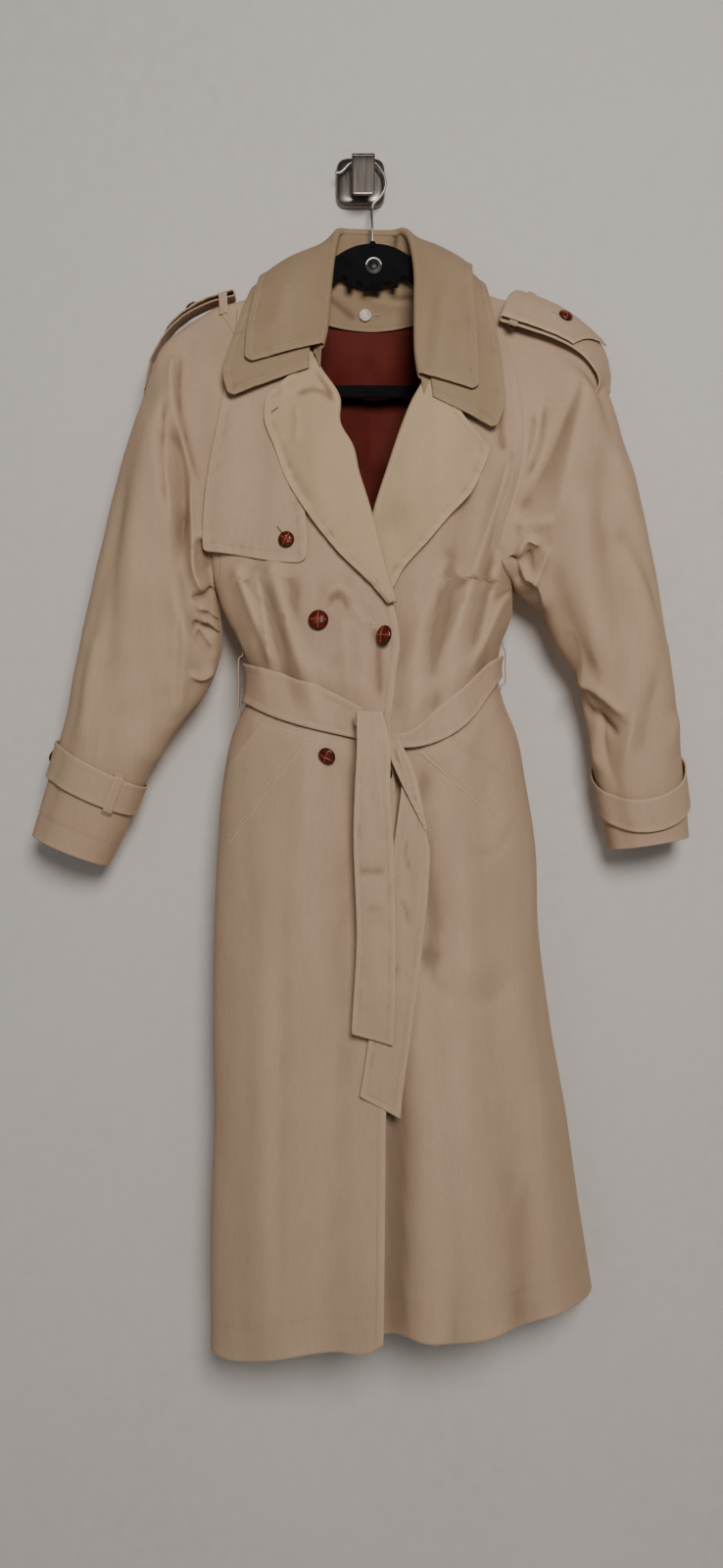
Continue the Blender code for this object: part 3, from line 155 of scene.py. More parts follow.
def readRows(at, rows):
    # Every column of a table at fractional row numbers
    table = np.asarray(rows, float)
    at = np.asarray(at, float)
    return np.stack([smoothRead(at, np.arange(len(table)), table[:, k]) for k in range(table.shape[1])], -1)


def ease(t):
    t = np.clip(t, 0, 1)
    return t * t * (3 - 2 * t)


def bell(off, width):
    return np.exp(-(off / width) ** 2)


def unit(vectors):
    return vectors / np.maximum(np.linalg.norm(vectors, axis=-1, keepdims=True), 1e-9)


def crowd(count, low=0.0, high=0.0, reach=0.06):
    # Steps from 0 to 1, closer together towards either end by the given weights
    t = np.linspace(0, 1, 801)
    density = 1 + low * np.exp(-t / reach) + high * np.exp(-(1 - t) / reach)
    total = np.concatenate([[0], np.cumsum((density[1:] + density[:-1]) / 2)])
    return np.interp(np.linspace(0, 1, count), total / total[-1], t)


def ripple(a, b, reach, seed):
    # Soft uneven waves: seven sines of about the given length, in seeded directions
    dice = np.random.default_rng(seed)
    total = 0.0
    for _ in range(7):
        turn, phase = dice.uniform(0, np.pi), dice.uniform(0, 2 * np.pi)
        size = 2 * np.pi / (reach * dice.uniform(0.7, 1.6))
        total = total + np.sin(size * (np.cos(turn) * a + np.sin(turn) * b) + phase)
    return total / 7


def crumple(a, b, reach, seed):
    # Small sharp folds: crests where the ripple crosses zero, hollows between them
    return 3 * (0.21 - np.abs(ripple(a, b, reach, seed)))


def creaseSum(x, z, rows):
    # height * crest(q), q = distance / width, crest = exp(-1.8 (root of (q^2 + e^2) - e)): the
    # smaller e, the sharper the top; wide folds are rounder, none is steeper than its height
    # allows; faded over the line's two ends
    total = np.zeros(np.shape(x))
    for x0, z0, x1, z1, x2, z2, w0, w1, height, skew in rows:
        t = np.linspace(0, 1, 21)
        lineX = (1 - t) ** 2 * x0 + 2 * t * (1 - t) * (2 * x1 - (x0 + x2) / 2) + t ** 2 * x2
        lineZ = (1 - t) ** 2 * z0 + 2 * t * (1 - t) * (2 * z1 - (z0 + z2) / 2) + t ** 2 * z2
        best = np.full(np.shape(x), 1e9)
        along, side = np.zeros(np.shape(x)), np.ones(np.shape(x))
        for k in range(20):
            runX, runZ = lineX[k + 1] - lineX[k], lineZ[k + 1] - lineZ[k]
            size = runX ** 2 + runZ ** 2
            s = np.clip(((x - lineX[k]) * runX + (z - lineZ[k]) * runZ) / size, 0, 1)
            offX, offZ = x - lineX[k] - s * runX, z - lineZ[k] - s * runZ
            away = offX ** 2 + offZ ** 2
            near = away < best
            best = np.where(near, away, best)
            along = np.where(near, (k + s) / 20, along)
            side = np.where(near, np.sign(runX * offZ - runZ * offX), side)
        width = np.maximum((w0 + (w1 - w0) * along) * (1 + skew * side), 0.7 * coat["creaseGain"] * abs(height))
        soft = 0.35 + 0.85 * ease((w0 - 7) / 6)
        crest = np.exp(-1.8 * (np.sqrt(best / width ** 2 + soft ** 2) - soft))
        total += coat["creaseGain"] * height * crest * ease(along / 0.24) * ease((1 - along) / 0.24)
    return total


def limited(lumps, deepest):
    # Hollows level out smoothly towards the deepest: -deepest * tanh(-lumps / deepest)
    return np.where(lumps < 0, deepest * np.tanh(lumps / deepest), lumps)


def foldSum(x, z, folds):
    # Each large fold is a bell across a line that runs from its top to its end
    total = np.zeros(np.shape(x))
    for topX, topZ, endX, endZ, width, height in folds:
        along = (topZ - z) / (topZ - endZ)
        middle = topX + (endX - topX) * along
        total += height * ease(along / 0.2) * ease((1 - along) / 0.2) * bell(x - middle, width)
    return total


def torsoAt(z):
    down = [-row[0] for row in torsoRows]
    return {name: smoothRead(-z, down, [row[k] for row in torsoRows]) for k, name in enumerate(torsoNames) if k}


def shoulderZ(x):
    return readAcross(np.abs(np.asarray(x, float) - coat["neckCentre"]), shoulderRows)


def backTop(x):
    # The shoulder seams, joined by the dip of the back neck
    out = np.abs(np.asarray(x, float) - coat["neckCentre"])
    dip = coat["backNeckDrop"] * (1 - ease(out / coat["neckHalf"]))
    return np.where(out < coat["neckHalf"], shoulderZ(coat["neckCentre"] + coat["neckHalf"]) - dip, shoulderZ(x))


def seamDepth(x):
    out = np.abs(x - coat["neckCentre"])
    return coat["ridgeNear"] + (coat["ridgeFar"] - coat["ridgeNear"]) * np.clip((out - coat["neckHalf"]) / 107, 0,
                                                                                1)


def acrossTorso(x, z):
    t = torsoAt(z)
    u = np.clip((x - (t["left"] + t["right"]) / 2) / ((t["right"] - t["left"]) / 2), -1, 1)
    return t, u, t["sideLeft"] + (t["sideRight"] - t["sideLeft"]) * (u + 1) / 2


def frontDepth(x, z):
    # side + (front - side) * root of (1 - |u|^full), eased up to the shoulder seam
    x, z = np.broadcast_arrays(np.asarray(x, float), np.asarray(z, float))
    t, u, side = acrossTorso(x, z)
    bow = np.sqrt(1 - np.abs(u) ** np.where(u < 0, t["fullLeft"], t["fullRight"]))
    folds = foldSum(x, z, frontRight["folds"] + frontLeft["folds"])
    depth = side + (t["front"] - side + folds) * bow
    fall = np.clip(shoulderZ(x) - z, 0, None)
    rounding = coat["ridgeRound"] * np.sqrt(1 - (1 - np.clip(fall / coat["ridgeRound"], 0, 1)) ** 2)
    share = 1 - (1 - np.clip(fall / coat["frontFall"], 0, 1)) ** 1.5
    return seamDepth(x) + rounding + (depth - seamDepth(x) - coat["ridgeRound"]) * share


def beltHold(x, z):
    # The coat is held in under the belt, and stands a little proud just above and below it
    off = z - readAcross(x, beltMiddleRows)
    held = 1 - 0.9 * np.exp(-(off / 27) ** 4)
    return held, 2.6 * bell(off - 36, 14) + 1.6 * bell(off + 36, 14) - 1.2 * (1 - held)


def frontLumps(x, z, creases, seed):
    # hold * (creases + waves + crumples, more of them near the belt) + swell
    held, swell = beltHold(x, z)
    lumps = creaseSum(x, z, creases) + 1.2 * ripple(x, z * 0.6, 46, seed)
    near = bell(z - readAcross(x, beltMiddleRows), 80)
    lumps = lumps + (0.25 + 0.9 * near) * crumple(x, z * 0.35, 34, seed + 1)
    return held * lumps + swell


def frontLook(x, z):
    # The right front as it shows: its depth, its creases, its soft waves
    return frontDepth(x, z) + frontLumps(x, z, frontRight["creases"],
                                         3) * ease((-z - 395) / 40) * ease((x + 160) / 12)


def leftLook(x, z):
    # The left front; it passes under the right one near its edge
    drop = 13.0 * ease((-z - 340) / 60) - 8.0 * ease((-z - 490) / 70) + 17.0 * ease((-z - 860) / 150)
    shown = ease((x - 34) / 26) * ease((-z - 170) / 60)
    return frontDepth(x, z) - drop * ease((80 - x) / 52) + frontLumps(x, z, frontLeft["creases"], 5) * shown


def backDepth(x, z):
    # side - (side - back) * fourth root of (1 - u^4), eased up to the shoulder seam
    x, z = np.broadcast_arrays(np.asarray(x, float), np.asarray(z, float))
    t, u, side = acrossTorso(x, z)
    depth = side - (side - t["back"] - foldSum(x, z, back["folds"])) * (1 - u ** 4) ** 0.25
    out = np.abs(x - coat["neckCentre"])
    ridge = t["back"] + (seamDepth(x) - t["back"]) * ease((out - 38) / 20)
    fall = np.clip(backTop(x) - z, 0, coat["backFall"]) / coat["backFall"]
    return ridge + (depth - ridge) * (0.65 * np.sqrt(1 - (1 - fall) ** 2) + 0.35 * fall)


def onFront(x, z, lift, depthOf=frontLook):
    # The point of the front at x, z moved out by lift along the surface's normal
    x, z, lift = np.broadcast_arrays(np.asarray(x, float), np.asarray(z, float), np.asarray(lift, float))
    step = 1.5
    acrossSlope = (depthOf(x + step, z) - depthOf(x - step, z)) / (2 * step)
    upSlope = (depthOf(x, z + step) - depthOf(x, z - step)) / (2 * step)
    size = np.sqrt(1 + acrossSlope ** 2 + upSlope ** 2)
    return np.stack([x - lift * acrossSlope / size, z - lift * upSlope / size, depthOf(x, z) + lift / size], -1)


def gridNormals(grid, closed=False):
    around = np.roll(grid, -1, 0) - np.roll(grid, 1, 0) if closed else np.gradient(grid, axis=0)
    return unit(np.cross(around, np.gradient(grid, axis=1)))


def facingNormals(grid, closed, facing):
    normals = gridNormals(grid, closed)
    rows, columns = grid.shape[:2]
    probe = normals[rows // 4 if closed else rows // 2, columns // 2]
    return -normals if np.dot(probe, facing) < 0 else normals


def arcs(grid, axis):
    # Distance along each grid line from its first point
    steps = np.linalg.norm(np.diff(grid, axis=axis), axis=-1)
    return np.concatenate([np.zeros_like(np.take(steps, [0], axis)), np.cumsum(steps, axis)], axis)


def edgeDistances(grid):
    first, second = arcs(grid, 0), arcs(grid, 1)
    return {"start": first, "end": first[-1:] - first, "low": second, "high": second[:, -1:] - second}


def roundCorners(grid, corners):
    # Square to quarter disc near each named corner: p' = p * root(1 - q^2 / 2r^2), and so for q
    for one, two, radius in corners:
        far = edgeDistances(grid)
        p = np.clip(radius - far[one], 0, radius)
        q = np.clip(radius - far[two], 0, radius)
        newP = p * np.sqrt(1 - q ** 2 / (2 * radius ** 2))
        newQ = q * np.sqrt(1 - p ** 2 / (2 * radius ** 2))
        alongOne = unit(np.gradient(grid, axis=0)) * (1 if one == "start" else -1)
        alongTwo = unit(np.gradient(grid, axis=1)) * (1 if two == "low" else -1)
        grid = grid + (p - newP)[..., None] * alongOne + (q - newQ)[..., None] * alongTwo
    return grid


def edgeFinish(grid, sides, inset=6.5, rise=0.5, pucker=0.45, seed=1):
    # Turned edges: thicker as far as the stitching, a groove along it and small puckers
    far = edgeDistances(grid)
    nearest = np.min([far[side] for side in sides], 0)
    push = rise * ease((inset + 0.8 - nearest) / 1.6) - 0.38 * bell(nearest - inset, 1.0)
    for k, side in enumerate(sides):
        run = far["low"] if side in ("start", "end") else far["start"]
        ends = np.exp(-(np.maximum(far[side] - inset * 0.6, 0) / (inset * 0.9)) ** 2)
        wave = ripple(run, 0 * run, 11, seed + k) + 0.6 * ripple(run, 0 * run, 23, seed + 9 + k)
        push = push + pucker * 1.6 * wave * ends
    return push, np.exp(-nearest / 2.5)


def ringQuads(number):
    # Faces between rings of points, each ring closed on itself
    before, after = number[:-1], number[1:]
    return np.stack([before, after, np.roll(after, -1, 1), np.roll(before, -1, 1)], -1).reshape(-1, 4)


def meshFrom(name, points, faces, looks, faceLooks=None, uv=None, wear=None, groove=None, sharp=1.05):
    # Points come as (x, z, d) in millimetres; the wall is the plane y = 0
    points = np.asarray(points, float).reshape(-1, 3)
    placed = np.stack([points[:, 0], -points[:, 2], points[:, 1]], -1) * mm
    mesh = bpy.data.meshes.new(name)
    mesh.from_pydata(placed.tolist(), [], [face for part in faces for face in np.asarray(part).tolist()])
    for look in looks:
        mesh.materials.append(look)
    if faceLooks is not None:
        mesh.polygons.foreach_set("material_index", np.asarray(faceLooks, np.int32))
    loops = np.zeros(len(mesh.loops), np.int32)
    mesh.loops.foreach_get("vertex_index", loops)
    if uv is not None:
        layer = mesh.uv_layers.new(name="cloth")
        layer.data.foreach_set("uv", uv[loops].astype(np.float32).ravel() if len(uv) == len(points) else uv.ravel())
    # The groove attribute holds painted shade; the wear attribute holds worn edges and a painted highlight on ridges
    for key, value in (("wear", wear), ("groove", groove)):
        if value is not None:
            mesh.attributes.new(key, "FLOAT", "POINT").data.foreach_set("value", value.astype(np.float32).ravel())
    mesh.shade_smooth()
    mesh.set_sharp_from_angle(angle=sharp)
    item = bpy.data.objects.new(name, mesh)
    bpy.context.scene.collection.objects.link(item)
    return item


def spread(values, closed, passes):
    # Each pass gives every point half its own value and a quarter of each neighbour's, both ways
    for _ in range(passes):
        before, after = (np.roll(values, 1, 0), np.roll(values, -1, 0)) if closed else (
            np.concatenate([values[:1], values[:-1]]), np.concatenate([values[1:], values[-1:]]))
        values = (before + 2 * values + after) / 4
        before = np.concatenate([values[:, :1], values[:, :-1]], 1)
        after = np.concatenate([values[:, 1:], values[:, -1:]], 1)
        values = (before + 2 * values + after) / 4
    return values


def hollows(grid, normals, closed):
    # How far the average of the cloth round about lies outside each point, in millimetres
    return np.sum((spread(grid, closed, 10) - grid) * normals, -1)


def makeCloth(name, base, thickness, looks, closed=False, facing=(0, 0, 1), fixed=(), push=None, wear=None,
              plainInside=None):
    # A closed shell: the outside moved by push along its normals, the inside one thickness
    # in, and a half-round edge between them. fixed holds set normals along seams.
    normals = facingNormals(base, closed, facing)
    flip = np.dot(normals[0, 0], gridNormals(base, closed)[0, 0]) < 0
    for place, vector in fixed:
        normals[place] = vector
    outer = base if push is None else base + push[..., None] * normals
    normals = facingNormals(outer, closed, facing)
    for place, vector in fixed:
        normals[place] = vector
    # The inside follows the evened-out normals, so that it never breaks through a sharp crease
    inward = unit(spread(normals, closed, 5))
    for place, vector in fixed:
        inward[place] = vector
    inner = outer - thickness * inward
    rows, columns = base.shape[:2]
    count = rows * columns
    number = np.arange(count).reshape(rows, columns)
    a = number if closed else number[:-1]
    b = np.roll(number, -1, 0) if closed else number[1:]
    quads = np.stack([a[:, :-1], b[:, :-1], b[:, 1:], a[:, 1:]], -1).reshape(-1, 4)
    inside = quads[:, ::-1] + count
    if closed:
        borders = [(number[:, 0], number[:, 1]), (number[::-1, -1], number[::-1, -2])]
    else:
        border = np.concatenate([number[:-1, 0], number[-1, :-1], number[:0:-1, -1], number[0, :0:-1]])
        near = number[np.clip(border // columns, 1, rows - 2), np.clip(border % columns, 1, columns - 2)]
        borders = [(border, near)]
    flatOuter, flatInner = outer.reshape(-1, 3), inner.reshape(-1, 3)
    extra, rims, total = [], [], 2 * count
    for border, near in borders:
        out = unit(flatOuter[border] - flatOuter[near])
        extra.append((flatOuter[border] + flatInner[border]) / 2 + out * thickness * 0.35)
        p, n = np.arange(len(border)), np.roll(np.arange(len(border)), -1)
        rims.append(np.stack([border[n], border[p], total + p, total + n], -1))
        rims.append(np.stack([total + n, total + p, border[p] + count, border[n] + count], -1))
        total += len(border)
    points = np.concatenate([flatOuter, flatInner] + extra)
    faces = np.concatenate([quads, inside] + rims)
    if flip:
        faces = faces[:, ::-1]
    first, second = arcs(outer, 0), arcs(outer, 1)
    uv = np.stack([first + 0 * second, second + 0 * first], -1).reshape(-1, 2) * mm
    borderAll = np.concatenate([border for border, near in borders])
    uv = np.concatenate([uv, uv, uv[borderAll]])[faces.ravel()]
    if closed:
        # Faces across the seam carry on to the full way round
        span = float(np.max(first[-1])) * mm
        across = uv[:, 0].reshape(-1, 4)
        turns = (across.max(1) - across.min(1) > span / 2)[:, None] & (across < span / 2)
        uv[:, 0] = (across + turns * span * len(base) / (len(base) - 1)).ravel()
    faceLooks = np.zeros(len(faces), np.int32)
    if len(looks) > 1:
        lined = np.ones((rows, columns), bool) if plainInside is None else ~plainInside
        faceLooks[len(quads):2 * len(quads)] = lined.reshape(-1)[quads[:, 0]]
    deep = hollows(outer, normals, closed).ravel() / 1.6
    wornAndRidgeLit = np.zeros(count) if wear is None else wear.ravel()
    # Painted highlight: points that stand out from the cloth round about are paled, on top of the worn edges
    wornAndRidgeLit = np.clip(wornAndRidgeLit + 0.5 * np.clip(-deep, 0, 1), 0, 1)
    wornAndRidgeLit = np.concatenate([wornAndRidgeLit, 0.5 * wornAndRidgeLit, np.maximum(wornAndRidgeLit[borderAll], 0.6 if wear is not None else 0)])
    # Painted shade: darker along the sunk stitch grooves (from push) and in the cloth's hollows and creases (from
    # deep)
    paintedShade = np.zeros(count) if push is None else np.clip(-push, 0, 0.8).ravel() / 2.2
    paintedShade = np.clip(paintedShade + 0.75 * ease(0.8 * deep), 0, 1)
    paintedShade = np.concatenate([paintedShade, 0 * paintedShade, 0.5 * paintedShade[borderAll]])
    item = meshFrom(name, points, [faces], looks, faceLooks, uv, wornAndRidgeLit, paintedShade)
    return item, outer, normals


def settle(item, nodes):
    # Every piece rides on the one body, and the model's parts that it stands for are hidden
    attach(item, "root")
    if nodes:
        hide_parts(*nodes)
    return item


# Finishes
def addNode(tree, kind, inputs=None, **settings):
    made = tree.nodes.new("ShaderNode" + kind)
    for key, value in settings.items():
        setattr(made, key, value)
    for key, value in (inputs or {}).items():
        if isinstance(value, bpy.types.NodeSocket):
            tree.links.new(value, made.inputs[key])
        else:
            made.inputs[key].default_value = value
    return made


def newLook(name, sockets):
    look = bpy.data.materials.new(name)
    look.use_nodes = True
    tree = look.node_tree
    shader = tree.nodes["Principled BSDF"]
    for key, value in sockets.items():
        shader.inputs[key].default_value = value
    return look, tree, shader


def mixColour(tree, factor, a, b, blend="MIX"):
    made = addNode(tree, "Mix", data_type="RGBA", blend_type=blend)
    for place, value in ((0, factor), (6, a), (7, b)):
        if isinstance(value, bpy.types.NodeSocket):
            tree.links.new(value, made.inputs[place])
        else:
            made.inputs[place].default_value = value if place == 0 else (*value, 1)
    return made.outputs[2]


def times(tree, a, b):
    return addNode(tree, "Math", {0: a, 1: b}, operation="MULTIPLY").outputs[0]


def giveRoughness(tree, shader, value, low, high):
    rough = addNode(tree, "MapRange", {"Value": value, "To Min": low, "To Max": high})
    tree.links.new(rough.outputs[0], shader.inputs["Roughness"])


def bumpOn(tree, strength, distance, height, under=None):
    # A bump, over another one where under is given
    made = addNode(tree, "Bump", {"Strength": strength, "Distance": distance, "Height": height})
    if under:
        tree.links.new(under, made.inputs["Normal"])
    return made.outputs[0]


def noiseOn(tree, vector, scale, detail=3.0, stretch=(1, 1, 1), low=0.3, high=0.7):
    # A noise read through a stretch, its middle range spread to 0 - 1
    mapped = addNode(tree, "Mapping", {"Vector": vector, "Scale": stretch})
    noise = addNode(tree, "TexNoise", {"Vector": mapped.outputs[0], "Scale": scale, "Detail": detail})
    return addNode(tree, "MapRange", {"Value": noise.outputs[0], "From Min": low, "From Max": high}).outputs[0]


def clothLook(name, light, dark, faded, twill=0.7, roughness=0.86, sheen=0.25, ribs=0.22):
    # Twill: slanted ribs along the piece's own threads, slubs, faded patches, pale worn edges;
    #     # painted shade in hollows, creases and stitch grooves, and a painted highlight on ridges
    look, tree, shader = newLook(name, {"Sheen Weight": sheen, "Sheen Roughness": 0.45, "Sheen Tint": (*light, 1),
                                        "Specular IOR Level": 0.25})
    coords = addNode(tree, "TexCoord")
    uv, own = coords.outputs["UV"], coords.outputs["Object"]
    slant = addNode(tree, "Mapping", {"Vector": uv, "Rotation": (0, 0, 1.1)})
    rib = addNode(tree, "TexWave", {"Vector": slant.outputs[0], "Scale": 0.314 / (twill * mm),
                                              "Distortion": 1.2, "Detail": 2.0, "Detail Scale": 1.4})
    slub = noiseOn(tree, uv, 420, 2, (1, 0.16, 1))
    fleck = noiseOn(tree, own, 900, 2)
    patch = noiseOn(tree, own, 7, 4, low=0.35, high=0.65)
    streak = noiseOn(tree, own, 30, 3, (1, 1, 0.12), 0.32, 0.68)
    colour = mixColour(tree, patch, light, faded)
    colour = mixColour(tree, times(tree, streak, 0.28), colour, dark)
    colour = mixColour(tree, times(tree, slub, 0.20), colour, dark)
    colour = mixColour(tree, times(tree, rib.outputs[1], 0.16), colour, dark)
    # Painted shade: darkened where the groove attribute marks hollows, creases and stitch grooves
    paintedShade = addNode(tree, "Attribute", attribute_name="groove").outputs["Fac"]
    colour = mixColour(tree, times(tree, paintedShade, 0.78), colour, tuple(0.5 * c for c in dark))
    # Worn edges paled towards the faded tone, together with a painted highlight on ridges
    wornAndRidgeLit = addNode(tree, "Attribute", attribute_name="wear").outputs["Fac"]
    patchy = times(tree, wornAndRidgeLit, fleck)
    colour = mixColour(tree, times(tree, patchy, 0.55), colour, tuple(min(1, c * 1.28) for c in faded))
    tree.links.new(colour, shader.inputs["Base Color"])
    giveRoughness(tree, shader, fleck, roughness - 0.06, roughness + 0.06)
    weave = bumpOn(tree, ribs, 0.0003, rib.outputs[1])
    pill = bumpOn(tree, 0.12, 0.0004, slub, weave)
    rumple = noiseOn(tree, own, 55, 3, (1, 1, 0.5), 0.2, 0.8)
    last = bumpOn(tree, 0.22, 0.0016, rumple, pill)
    tree.links.new(last, shader.inputs["Normal"])
    return look


def liningLook(name, light, dark):
    # Satin: fine crosswise threads, soft pressed rumples, a low sheen
    look, tree, shader = newLook(name, {"Specular IOR Level": 0.10, "Anisotropic": 0.3})
    coords = addNode(tree, "TexCoord")
    thread = noiseOn(tree, coords.outputs["UV"], 900, 2, (0.1, 1, 1))
    patch = noiseOn(tree, coords.outputs["Object"], 14, 4, low=0.35, high=0.65)
    colour = mixColour(tree, patch, light, dark)
    tree.links.new(mixColour(tree, times(tree, thread, 0.25), colour, dark), shader.inputs["Base Color"])
    giveRoughness(tree, shader, patch, 0.58, 0.7)
    fine = bumpOn(tree, 0.15, 0.0002, thread)
    rumple = noiseOn(tree, coords.outputs["Object"], 38, 2, (1, 1, 0.6), 0.2, 0.8)
    last = bumpOn(tree, 0.3, 0.002, rumple, fine)
    tree.links.new(last, shader.inputs["Normal"])
    return look


def buttonLook(name):
    # Leather: red-brown, darker in the grain, painted shade towards the rim, a pale thread cross in its own uv
    look, tree, shader = newLook(name, {"Coat Weight": 0.2, "Coat Roughness": 0.12, "Specular IOR Level": 0.2})
    coords = addNode(tree, "TexCoord")
    split = addNode(tree, "SeparateXYZ", {"Vector": coords.outputs["UV"]})
    sides = [addNode(tree, "Math", {0: split.outputs[k]}, operation="ABSOLUTE").outputs[0] for k in (0, 1)]
    near = addNode(tree, "Math", {0: sides[0], 1: sides[1]}, operation="MINIMUM").outputs[0]
    away = addNode(tree, "Math", {0: sides[0], 1: sides[1]}, operation="MAXIMUM").outputs[0]
    cross = addNode(tree, "MapRange", {"Value": near, "From Min": 0.055, "From Max": 0.02}).outputs[0]
    short = addNode(tree, "MapRange", {"Value": away, "From Min": 0.86, "From Max": 0.78}).outputs[0]
    cross = times(tree, cross, short)
    grain = noiseOn(tree, coords.outputs["Object"], 700, 4)
    patch = noiseOn(tree, coords.outputs["Object"], 160, 2)
    colour = mixColour(tree, patch, (0.102, 0.0095, 0.0032), (0.055, 0.005, 0.002))
    colour = mixColour(tree, times(tree, grain, 0.35), colour, (0.05, 0.008, 0.004))
    # Painted shade: the dome darkens towards its rim
    rim = addNode(tree, "MapRange", {"Value": away, "From Min": 0.6, "From Max": 1.0, "To Max": 0.85}).outputs[0]
    colour = mixColour(tree, rim, colour, (0.022, 0.004, 0.002))
    colour = mixColour(tree, times(tree, cross, 0.75), colour, (0.42, 0.12, 0.045))
    tree.links.new(colour, shader.inputs["Base Color"])
    giveRoughness(tree, shader, grain, 0.22, 0.42)
    bump = bumpOn(tree, 0.25, 0.0003, grain)
    tree.links.new(bump, shader.inputs["Normal"])
    return look


def plainLook(name, colour, other, scale, roughness, bump, distance, sockets, stretch=(1, 1, 1), detail=3):
    # Two tones mixed by a noise, which also drives the roughness and the bump
    look, tree, shader = newLook(name, sockets)
    own = addNode(tree, "TexCoord").outputs["Object"]
    noise = noiseOn(tree, own, scale, detail, stretch)
    wide = noiseOn(tree, own, scale * 0.05, 3)
    tree.links.new(mixColour(tree, wide, mixColour(tree, noise, colour, other), colour),
                   shader.inputs["Base Color"])
    giveRoughness(tree, shader, noise, roughness[0], roughness[1])
    made = bumpOn(tree, bump, distance, noise)
    tree.links.new(made, shader.inputs["Normal"])
    return look


gabardine = clothLook("gabardine", (0.400, 0.276, 0.190), (0.245, 0.162, 0.104), (0.428, 0.304, 0.205))
# Painted light: a lighter copy of the gabardine for the lapels, which face the light
gabardineLit = clothLook("gabardineLit", (0.435, 0.304, 0.192), (0.285, 0.191, 0.114), (0.46, 0.328, 0.208))
# Painted shade: a darker copy of the gabardine for the collar leaves and the neck facing
gabardineShaded = clothLook("gabardineShaded", (0.280, 0.193, 0.118), (0.184, 0.121, 0.071), (0.297, 0.208, 0.129))
lining = liningLook("lining", (0.090, 0.0064, 0.0022), (0.055, 0.0042, 0.0017))
leather = buttonLook("buttonLeather")
thread = plainLook("thread", (0.43, 0.32, 0.22), (0.30, 0.22, 0.15), 1500, (0.7, 0.9), 0.3, 0.0002,
                   {"Sheen Weight": 0.2})
flock = plainLook("blackFlock", (0.004, 0.004, 0.0045), (0.010, 0.010, 0.011), 1800, (0.9, 1.0), 0.5, 0.0003,
                  {"Sheen Weight": 0.08, "Sheen Roughness": 0.4, "Specular IOR Level": 0.1})
brushed = plainLook("brushedSteel", (0.205, 0.179, 0.160), (0.160, 0.137, 0.122), 420, (0.26, 0.38), 0.05, 0.0001,
                    {"Metallic": 1.0, "Anisotropic": 0.4}, (1, 1, 0.05), 4)
chrome = plainLook("wireSteel", (0.42, 0.41, 0.40), (0.34, 0.33, 0.32), 300, (0.32, 0.42), 0.05, 0.0001,
                   {"Metallic": 1.0})
# The badge's black dome; also the painted shadow in the buttonhole slits
darkCapAndSlitShade = plainLook("darkCapAndSlitShade", (0.007, 0.0065, 0.006), (0.014, 0.013, 0.012), 300, (0.35, 0.45), 0.04, 0.0001,
                    {"Specular IOR Level": 0.3})
clear = plainLook("clearPlastic", (0.86, 0.80, 0.70), (0.80, 0.72, 0.60), 200, (0.10, 0.20), 0.05, 0.0002,
                  {"Transmission Weight": 0.55, "IOR": 1.49, "Coat Weight": 0.5})
print("finishes are ready")


# Fronts and back
frontLevels = (-150.0, -1180.0)


def panelRows(levels, topOf, hemOf, x):
    # Level rows, blended into the shoulder seam at the top and the hem at the bottom
    up, down = ease((levels + 300) / 150), ease((-levels - 1050) / 130)
    return levels + up * (topOf(x) - levels[0]) + down * (hemOf(x) - levels[-1])


def makeFront(name, isRight, piece):
    levels = np.linspace(*frontLevels, piece["levels"])
    share = crowd(piece["columns"], 3.5, 3.5, 0.05)[:, None]
    z = np.repeat(levels[None, :], piece["columns"], 0)
    for _ in range(3):
        t = torsoAt(z)
        armhole = readDown(z, armholeRightRows if isRight else armholeLeftRows)
        outside = np.where(levels > coat["underarm"], armhole, t["left"] if isRight else t["right"])
        edge = readDown(z, edgeRightRows if isRight else edgeLeftRows)
        middle, half = (t["left"] + t["right"]) / 2, (t["right"] - t["left"]) / 2
        start = np.arccos(np.clip((middle - outside) / half, -1, 1))
        end = np.arccos(np.clip((middle - edge) / half, -1, 1))
        x = middle - half * np.cos(start + (end - start) * share)
        z = panelRows(levels, shoulderZ, lambda at: readAcross(at, hemRows), x)
    depth = (frontLook if isRight else leftLook)(x, z)
    base = np.stack([x, z, depth], -1)
    far = edgeDistances(base)
    below = levels <= coat["underarm"]
    base[:, 0, 2] += coat["seamGap"]
    base[0, below, 2] += coat["seamGap"]
    push = 0.7 * ease((10.5 - far["start"]) / 1.4) * ease((-430 - z + 30) / -20 + 1) * (z > -450)
    push = push - 0.5 * bell(far["start"] - 9, 1.1) * (z > -450)
    push = push + 0.5 * ease((7.5 - far["end"]) / 1.5) - 0.5 * bell(far["end"] - 7, 1.0)
    push = push - 0.15 * bell(far["high"] - 34, 2.0) - 0.5 * np.exp(-far["start"] / 1.2)
    push = push + 0.35 * ripple(far["low"], 0 * z, 16, 7) * bell(far["end"], 9)
    wear = np.exp(-np.minimum(far["end"], far["high"]) / 2.5)
    outward = (-1.0 if isRight else 1.0, 0, 0)
    fixed = ((np.s_[:, 0], (0, 1.0, 0)), (np.s_[0, int(np.argmax(below)):], outward))
    inside = (far["high"] < 45) | (far["end"] < 75)
    item, outer, normals = makeCloth(name, base, coat["cloth"], (gabardine, lining), fixed=fixed, push=push,
                                     wear=wear,
                                     plainInside=inside)
    settle(item, [name])
    return outer, normals


frontRightShell = makeFront("front_right", True, frontRight)
frontLeftShell = makeFront("front_left", False, frontLeft)


def backSides(z, levels):
    # The armhole seams above the underarm, the torso's sides below it
    t = torsoAt(z)
    above = levels > coat["underarm"]
    return np.where(above, coat["armholeRight"], t["left"]), np.where(above, coat["armholeLeft"], t["right"])


